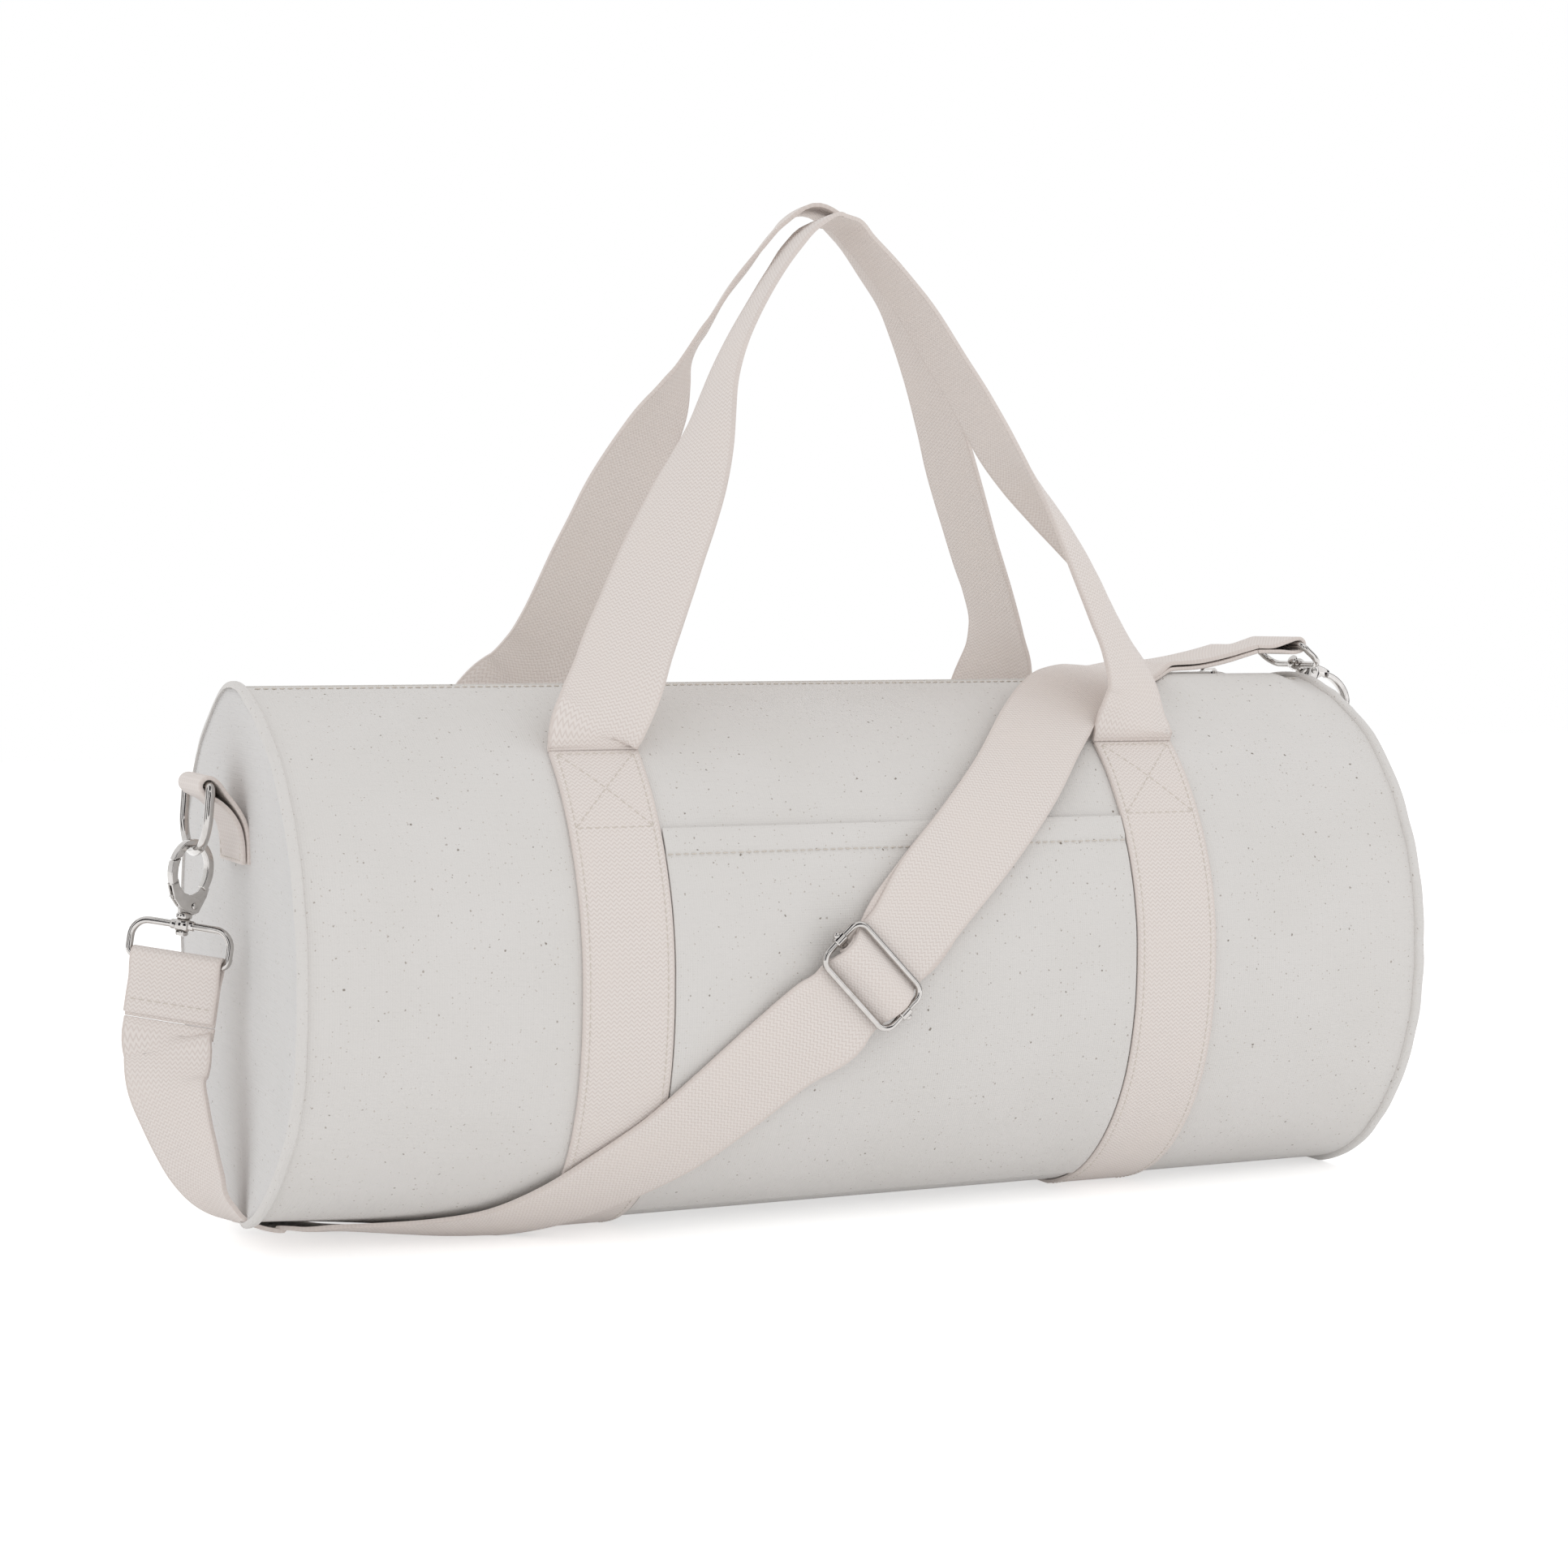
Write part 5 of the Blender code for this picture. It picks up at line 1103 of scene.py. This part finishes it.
def lay_handle(side, name, table):
    tangent = (outline_point(0, BOX_TOP_ANGLE + 0.5) - outline_point(0, BOX_TOP_ANGLE - 0.5)).normalized()
    out = outward(0, BOX_TOP_ANGLE)
    feet = []
    for share in (-1, 1):
        base = plain_point(share * BAND_X, BOX_TOP_ANGLE, CLEARANCE + WEBBING / 2)
        feet.append([base + tangent * CLEARANCE, base + tangent * HANDLE_FOOT])
    stations = [(*feet[0][1], 0.0, 0.0)]
    foot_y, foot_z = feet[0][0].y, feet[0][0].z
    for x, up, away, turn, curl in table:
        y = -APEX_GAP + (foot_y + APEX_GAP) * away
        stations.append((x * BAND_X, y, foot_z + up * HANDLE_RISE, turn, curl / 1000))
    stations.append((*feet[1][1], 0.0, 0.0))
    path = [(*feet[0][0], 0.0, 0.0), *smooth_path(stations, 5), (*feet[1][0], 0.0, 0.0)]
    rows = []
    for index, (station, line) in enumerate(zip(path, headings(path))):
        point = Vector(station[:3])
        level = Y_AXIS.cross(line).normalized()
        turn = math.radians(station[3])
        across = level * math.cos(turn) + line.cross(level) * math.sin(turn)
        if index in (0, len(path) - 1):
            across = X_AXIS if index == 0 else -X_AXIS
        face = across.cross(line).normalized()
        row = []
        for reach in spread(-1, 1, 10):
            crown = max(station[4], 0.0) * (1 - reach * reach)
            spot = point + across * (reach * WEBBING_WIDTH / 2) + face * crown
            row.append(Vector((spot.x, spot.y * -side, spot.z)))
        rows.append(row)
    webbing_piece(f"{name}_handle_webbing", rows, f"{name}_handle", [f"handle_{name}"])
    print(name, "handle:", run_length(rows), "m of webbing")


lay_handle(-1, "front", FRONT_HANDLE_SHARES)
lay_handle(1, "back", BACK_HANDLE_SHARES)

# %% [markdown]
# ## The shoulder strap
# The strap is one long webbing. It hangs from the left hook's loop, goes under the bag's left end,
# climbs the front through the adjuster and runs along the top to the right loop. From there it comes
# back beneath itself to the adjuster's bar. Where it lies on the bag, each row of points bends to
# the barrel, and where it hangs free, the row stays straight.

# %% Strap places
LOOP_TURN = LOOP_WIRE / 2 + LAYER_GAP + WEBBING / 2
FOLD_LENGTH = 0.0230
ADJUSTER_WIRE, ADJUSTER_LENGTH, ADJUSTER_WIDTH = 0.0028, 0.0446, 0.0260
ADJUSTER_BAR = 0.0024
NECK_SHARE = 0.93
HANGING_SHARES = (
    (-1.120, -0.015, 0.345, (-0.60, -0.79, -0.10)),
    (-1.124, -0.032, 0.291, (-0.72, -0.68, -0.10)),
    (-1.114, -0.058, 0.237, (-0.80, -0.58, -0.14)),
    (-1.102, -0.082, 0.188, (-0.82, -0.50, -0.24)),
    (-1.087, -0.106, 0.141, (-0.78, -0.44, -0.42)),
    (-1.066, -0.136, 0.098, (-0.64, -0.36, -0.66)),
    (-1.038, -0.170, 0.063, (-0.44, -0.20, -0.87)),
    (-1.010, -0.185, 0.042, (-0.26, -0.10, -0.96)),
    (-0.975, -0.170, 0.033, (-0.12, -0.10, -0.98)),
)
CLIMB_SHARES = ((-0.930, -78.5), (-0.860, -75.0), (-0.790, -71.0), (-0.715, -66.5), (-0.640, -61.3))
CLIMB_SHARES += ((-0.560, -53.0), (-0.480, -44.0), (-0.410, -37.0), (-0.332, -28.0), (-0.240, -18.0))
ABOVE_SHARES = ((0.036, 15.0), (0.126, 26.0), (0.222, 38.6), (0.319, 53.4), (0.402, 65.0), (0.478, 74.2))
ABOVE_SHARES += ((0.556, 80.6),)
CREST_SHARES = ((0.660, -0.045, 1.0175), (0.740, -0.020, 1.0220), (0.810, -0.006, 1.0350))
THROUGH_SHARES = ((-1.85, -0.24), (-1.40, -0.23), (-1.00, -0.23), (-0.76, -0.14), (-0.56, 0.07))
THROUGH_SHARES += ((-0.30, 0.32), (0.00, 0.42), (0.30, 0.33), (0.58, 0.09), (0.78, -0.14), (1.00, -0.23))
THROUGH_SHARES += ((1.40, -0.23),)
SEWN_SHARES = ((1.40, -0.42), (1.00, -0.42), (0.62, -0.37), (0.30, -0.27))


def adjuster_place():
    """The adjuster's frame on the front of the bag: X across the strap, Y along it and Z outward."""
    climb = math.radians(43.0)
    along = Vector((math.cos(climb), 0, math.sin(climb)))
    lift = STRAP_LIFT + LAYER + WEBBING / 2 + CLEARANCE + ADJUSTER_WIRE / 2
    place = Matrix((along.cross(-Y_AXIS), along, -Y_AXIS)).transposed().to_4x4()
    place.translation = plain_point(-0.0224, -1.7, lift)
    return place, lift


def knot(point, out, lift=0.0, hug=0.0, width_share=1.0):
    """A place on the strap: its middle, the way out of its face, its lift and how far it hugs."""
    return (*point, *out, lift, hug, width_share)


def hugging(table, lift):
    """Knots that lie on the barrel, from shares of its half length and angles on it."""
    places = [(share * HALF_LENGTH, degrees) for share, degrees in table]
    return [knot(plain_point(x, a, lift), outward(x, a), lift, 1.0) for x, a in places]


def crest_knots(lift):
    made = []
    for x, y, z in CREST_SHARES:
        made.append(knot(Vector((x * HALF_LENGTH, y * HALF_WIDTH, z * TOP_HEIGHT + lift)), Z_AXIS))
    return made


def strap_rows(knots):
    """Rows across the strap, bent to the barrel where it hugs it."""
    line_rows = smooth_path(knots, 8)
    rows = []
    for row, line in zip(line_rows, headings(line_rows)):
        point, out = Vector(row[:3]), Vector(row[3:6])
        face = (out - line * out.dot(line)).normalized()
        across = line.cross(face)
        hug = min(max(row[7], 0.0), 1.0)
        made = []
        for reach in spread(-WEBBING_WIDTH * row[8] / 2, WEBBING_WIDTH * row[8] / 2, 8):
            flat = point + across * reach
            degrees = math.degrees(math.atan2(flat.z - section(flat.x)[1], -flat.y))
            laid = plain_point(flat.x, degrees, row[6])
            laid.z = max(laid.z, WEBBING / 2)
            made.append(flat.lerp(laid, hug))
        rows.append(made)
    return rows


def place_rows(place, path, share=1.0):
    """Rows of webbing across X of a place, along a path in its YZ plane."""
    return [[place @ point for point in row] for row in across_rows(path, X_AXIS, share)]


left, right = CHAINS["left"][2], CHAINS["right"][2]
adjuster, adjuster_lift = adjuster_place()
print("adjuster at", [round(value, 4) for value in adjuster.translation])

# %% [markdown]
# The two sewn folds go round the loops' far bars. Each is its own piece that turns with its loop.

# %% Sewn folds
knee = 2.6 * LOOP_TURN
half = LAYER / 2
points = [(-half, -FOLD_LENGTH), (-half, -(FOLD_LENGTH + knee) / 2), (-half, -knee)]
points += [(-LOOP_TURN * 0.85, -LOOP_TURN * 1.15)]
points += [(-LOOP_TURN * c, LOOP_TURN * s) for c, s in arc((0, 0), (1, 1), -20, 200, 8)]
points += [(LOOP_TURN * 0.85, -LOOP_TURN * 1.15), (half, -knee), (half, -(FOLD_LENGTH + knee) / 2)]
points += [(half, -FOLD_LENGTH - WEBBING)]
path = [Vector((0, y, z - LOOP_DROP)) for y, z in smooth_path(points, 5)]
webbing_piece("left_fold_webbing", place_rows(left, path), "left_strap_end", ["strap_end_left"])

bar = right @ Vector((0, 0, -LOOP_DROP))
low = bar.z - LOOP_TURN
fold_end = bar.x - FOLD_LENGTH + WEBBING / 2
points = [(fold_end, low + LAYER), (bar.x - FOLD_LENGTH * 0.6, low + LAYER)]
points += [(bar.x - FOLD_LENGTH * 0.28, bar.z + LOOP_TURN * 0.45)]
points += [(bar.x - LOOP_TURN * s, bar.z + LOOP_TURN * c) for c, s in arc((0, 0), (1, 1), 15, -170, 7)]
points += [(bar.x - FOLD_LENGTH * 0.45, low), (fold_end, low)]
path = [right.inverted() @ Vector((x, 0, z)) for x, z in smooth_path(points, 5)]
webbing_piece("right_fold_webbing", place_rows(right, path), "right_strap_end", ["strap_end_right"])

bm = bmesh.new()
height = -FOLD_LENGTH + 0.0055 - LOOP_DROP
for face_side in (-1, 1):
    out = (left.to_3x3() @ Vector((0, face_side, 0))).normalized()
    lift = LAYER / 2 + WEBBING / 2
    line = [left @ Vector((x, face_side * lift, height)) for x in spread(-0.0172, 0.0172, 10)]
    sew(bm, line, [out] * len(line))
finish("left_fold_stitches", bm, thread, "left_strap_end", (), 180.0)

# %% [markdown]
# The long run and the run that comes back beneath it follow from the same tables.

# %% Strap runs
start = left @ Vector((0, LAYER / 2, -LOOP_DROP - FOLD_LENGTH - WEBBING - CLEARANCE))
turned_to = left.to_3x3()
face_out, down = turned_to @ -Y_AXIS, turned_to @ -Z_AXIS
knots = [knot(start + down * reach, face_out) for reach in (0.0, WEBBING, FOLD_LENGTH / 4)]
for x, y, z, out in HANGING_SHARES:
    knots.append(knot(Vector((x * HALF_LENGTH, y * HALF_WIDTH, z * TOP_HEIGHT)), Vector(out).normalized()))
knots += hugging(CLIMB_SHARES, STRAP_LIFT)
half = (ADJUSTER_WIDTH - ADJUSTER_WIRE) / 2
for along, up in THROUGH_SHARES:
    share = 1.0 if abs(along) > 1.5 else NECK_SHARE
    point = adjuster @ Vector((0, along * half, up * half))
    knots.append(knot(point, -Y_AXIS, adjuster_lift + up * half, 0.0, share))
knots += hugging(ABOVE_SHARES, STRAP_LIFT + LAYER)
bar = right @ Vector((0, 0, -LOOP_DROP))
cut = Vector((bar.x - FOLD_LENGTH, 0, bar.z - LOOP_TURN))
knots += crest_knots(LAYER + CLEARANCE) + [knot(cut + Z_AXIS * LAYER, Z_AXIS)]
rows = strap_rows(knots)
webbing_piece("strap_run_webbing", rows, "bag", ["strap_webbing"])
print("strap:", run_length(rows), "m")

knots = [knot(cut, Z_AXIS)] + crest_knots(0.0)[::-1] + hugging(ABOVE_SHARES, STRAP_LIFT)[::-1]
for along, up in SEWN_SHARES:
    share = 1.0 if along > 1 else NECK_SHARE
    point = adjuster @ Vector((0, along * half, up * half))
    knots.append(knot(point, -Y_AXIS, adjuster_lift + up * half, 0.0, share))
rows = strap_rows(knots)
radius = ADJUSTER_BAR / 2 + CLEARANCE + WEBBING / 2
points = [(radius * c, radius * s) for c, s in arc((0, 0), (1, 1), -90, -270, 12)]
points += [(radius * 1.2, radius * 0.80), (radius * 2.6, -radius * 0.45)]
tail = place_rows(adjuster, [Vector((0, y, z)) for y, z in points], NECK_SHARE)
webbing_piece("strap_back_webbing", rows + [row[::-1] for row in tail], "bag", ["strap_return"])

# %% [markdown]
# ## The adjuster
# A wire rectangle slides on the strap. Its middle bar is crimped round the short sides at both ends,
# with a small ball of metal outside each crimp.

# %% Adjuster
length, width, corner = ADJUSTER_LENGTH - ADJUSTER_WIRE, ADJUSTER_WIDTH - ADJUSTER_WIRE, 0.0050
points = []
for quarter, (sx, sy) in enumerate(((1, 1), (-1, 1), (-1, -1), (1, -1))):
    middle = (sx * (length / 2 - corner), sy * (width / 2 - corner))
    points += arc(middle, (corner, corner), quarter * 90, quarter * 90 + 90, 8)
bm = bmesh.new()
wire(bm, space_out([adjuster @ Vector((x, y, 0)) for x, y in points]), ADJUSTER_WIRE, 16)
finish("adjuster_wire", bm, nickel, "adjuster", ["adjuster_frame"])

bm = bmesh.new()
lie = adjuster @ Matrix.Rotation(math.radians(90), 4, "Y")
span = length / 2 - 0.0012
turned(bm, both_ways([(0.0012, span)]), lie)
for end_side in (-1, 1):
    upright = Matrix.Rotation(math.radians(90), 4, "X")
    place = adjuster @ Matrix.Translation((end_side * length / 2, 0, 0)) @ upright
    turned(bm, both_ways([(0.0024, 0.0021), (0.0020, 0.0025)]), place)
    ball = adjuster @ Matrix.Translation((end_side * (length / 2 + 0.0022), 0, 0))
    turned(bm, [(0.0016 * c, 0.0016 * s) for c, s in arc((0, 0), (1, 1), -84, 84, 9)], ball)
finish("adjuster_crossbar", bm, nickel, "adjuster", ["adjuster_bar"])

# %% [markdown]
# ## Floor and light
# The bag stands on a plain white floor in even studio light. The world gives most of it, and three
# large soft lamps shape it: one high in front, and one low at each side, which reach under the
# handles. The floor and the world look brighter to the camera and in reflections than the light that
# they give to the bag.

# %% Floor, world and lamps
WHITE = (1.0, 1.0, 1.0, 1.0)
# Each row: name, place, what it aims at, width, watts, colour.
LAMPS = (
    ("key", (0.3, -1.9, 1.7), (0, 0, 0.15), 1.6, 1.6, (1.0, 0.985, 0.97)),
    ("right", (1.7, -1.3, 0.20), (0, 0, 0.2), 1.4, 1.6, (0.965, 0.965, 1.0)),
    ("left", (-2.0, -1.1, 0.20), (0, 0, 0.2), 1.4, 2.0, (0.97, 0.98, 1.0)),
)


def flat_sheet(name, size, surface, place=(0, 0, 0), target=None):
    """A flat rectangle of the studio, which isn't part of the bag."""
    bm = bmesh.new()
    bmesh.ops.create_grid(bm, x_segments=1, y_segments=1, size=0.5)
    bmesh.ops.scale(bm, vec=(*size, 1.0), verts=bm.verts)
    mesh = bpy.data.meshes.new(name)
    bm.to_mesh(mesh)
    bm.free()
    mesh.materials.append(surface)
    sheet = place_object(name, mesh, place, target, "Z")
    return sheet


def brightness(tree, given, shown):
    """How bright a surface is: as light on the bag, and as the camera and reflections see it."""
    rays = tree.nodes.new("ShaderNodeLightPath").outputs
    seen = calc(tree, "MAXIMUM", rays["Is Camera Ray"], rays["Is Glossy Ray"])
    seen = calc(tree, "MAXIMUM", seen, rays["Is Transmission Ray"])
    return remap(tree, seen, 0.0, 1.0, given, shown)


paper, tree, shader = new_material("white_paper")
dress(tree, shader, Base_Color=(0.90, 0.90, 0.90, 1.0), Roughness=0.9, Specular_IOR_Level=0.0)
dress(tree, shader, Emission_Color=WHITE, Emission_Strength=brightness(tree, 0.13, 0.50))
flat_sheet("floor", (8.0, 8.0), paper)

world = bpy.data.worlds.new("studio")
bpy.context.scene.world = world
world.use_nodes = True
tree = world.node_tree
dress(tree, tree.nodes["Background"], Color=WHITE, Strength=brightness(tree, 0.85, 1.0))

for name, place, target, size, power, color in LAMPS:
    lamp = bpy.data.lights.new(name, "AREA")
    lamp.shape = "DISK"
    lamp.size = size
    lamp.energy = power
    lamp.color = color
    place_object(name, lamp, place, target)
print("lamps:", len(LAMPS))

# %% [markdown]
# In an all-white room bright metal has nothing to show. A photographer hangs dark flags where only
# the reflections catch them, and so do these: neither the camera nor the bag's shading sees them.

# %% Dark flags for the metal
FLAG_AIM = (-0.2, 0.0, 0.15)
FLAGS = (
    ((-0.72, -1.50, 0.28), (0.80, 1.6)), ((-1.50, -0.70, 0.35), (0.50, 1.6)),
    ((0.50, -1.45, 0.40), (0.55, 1.6)), ((-0.5, -0.5, 1.45), (0.80, 1.2)),
    ((-1.6, 0.55, 0.4), (0.55, 1.6)), ((1.4, -0.6, 0.4), (0.60, 1.6)),
)
flag_cloth, tree, shader = new_material("flag_cloth")
dress(tree, shader, Base_Color=(0.020, 0.016, 0.022, 1.0), Roughness=1.0, Specular_IOR_Level=0.0)
for number, (place, size) in enumerate(FLAGS):
    flag = flat_sheet(f"flag_{number}", size, flag_cloth, place, FLAG_AIM)
    for kind in ("camera", "diffuse", "shadow", "transmission", "volume_scatter"):
        setattr(flag, f"visible_{kind}", False)
print("flags:", len(FLAGS))
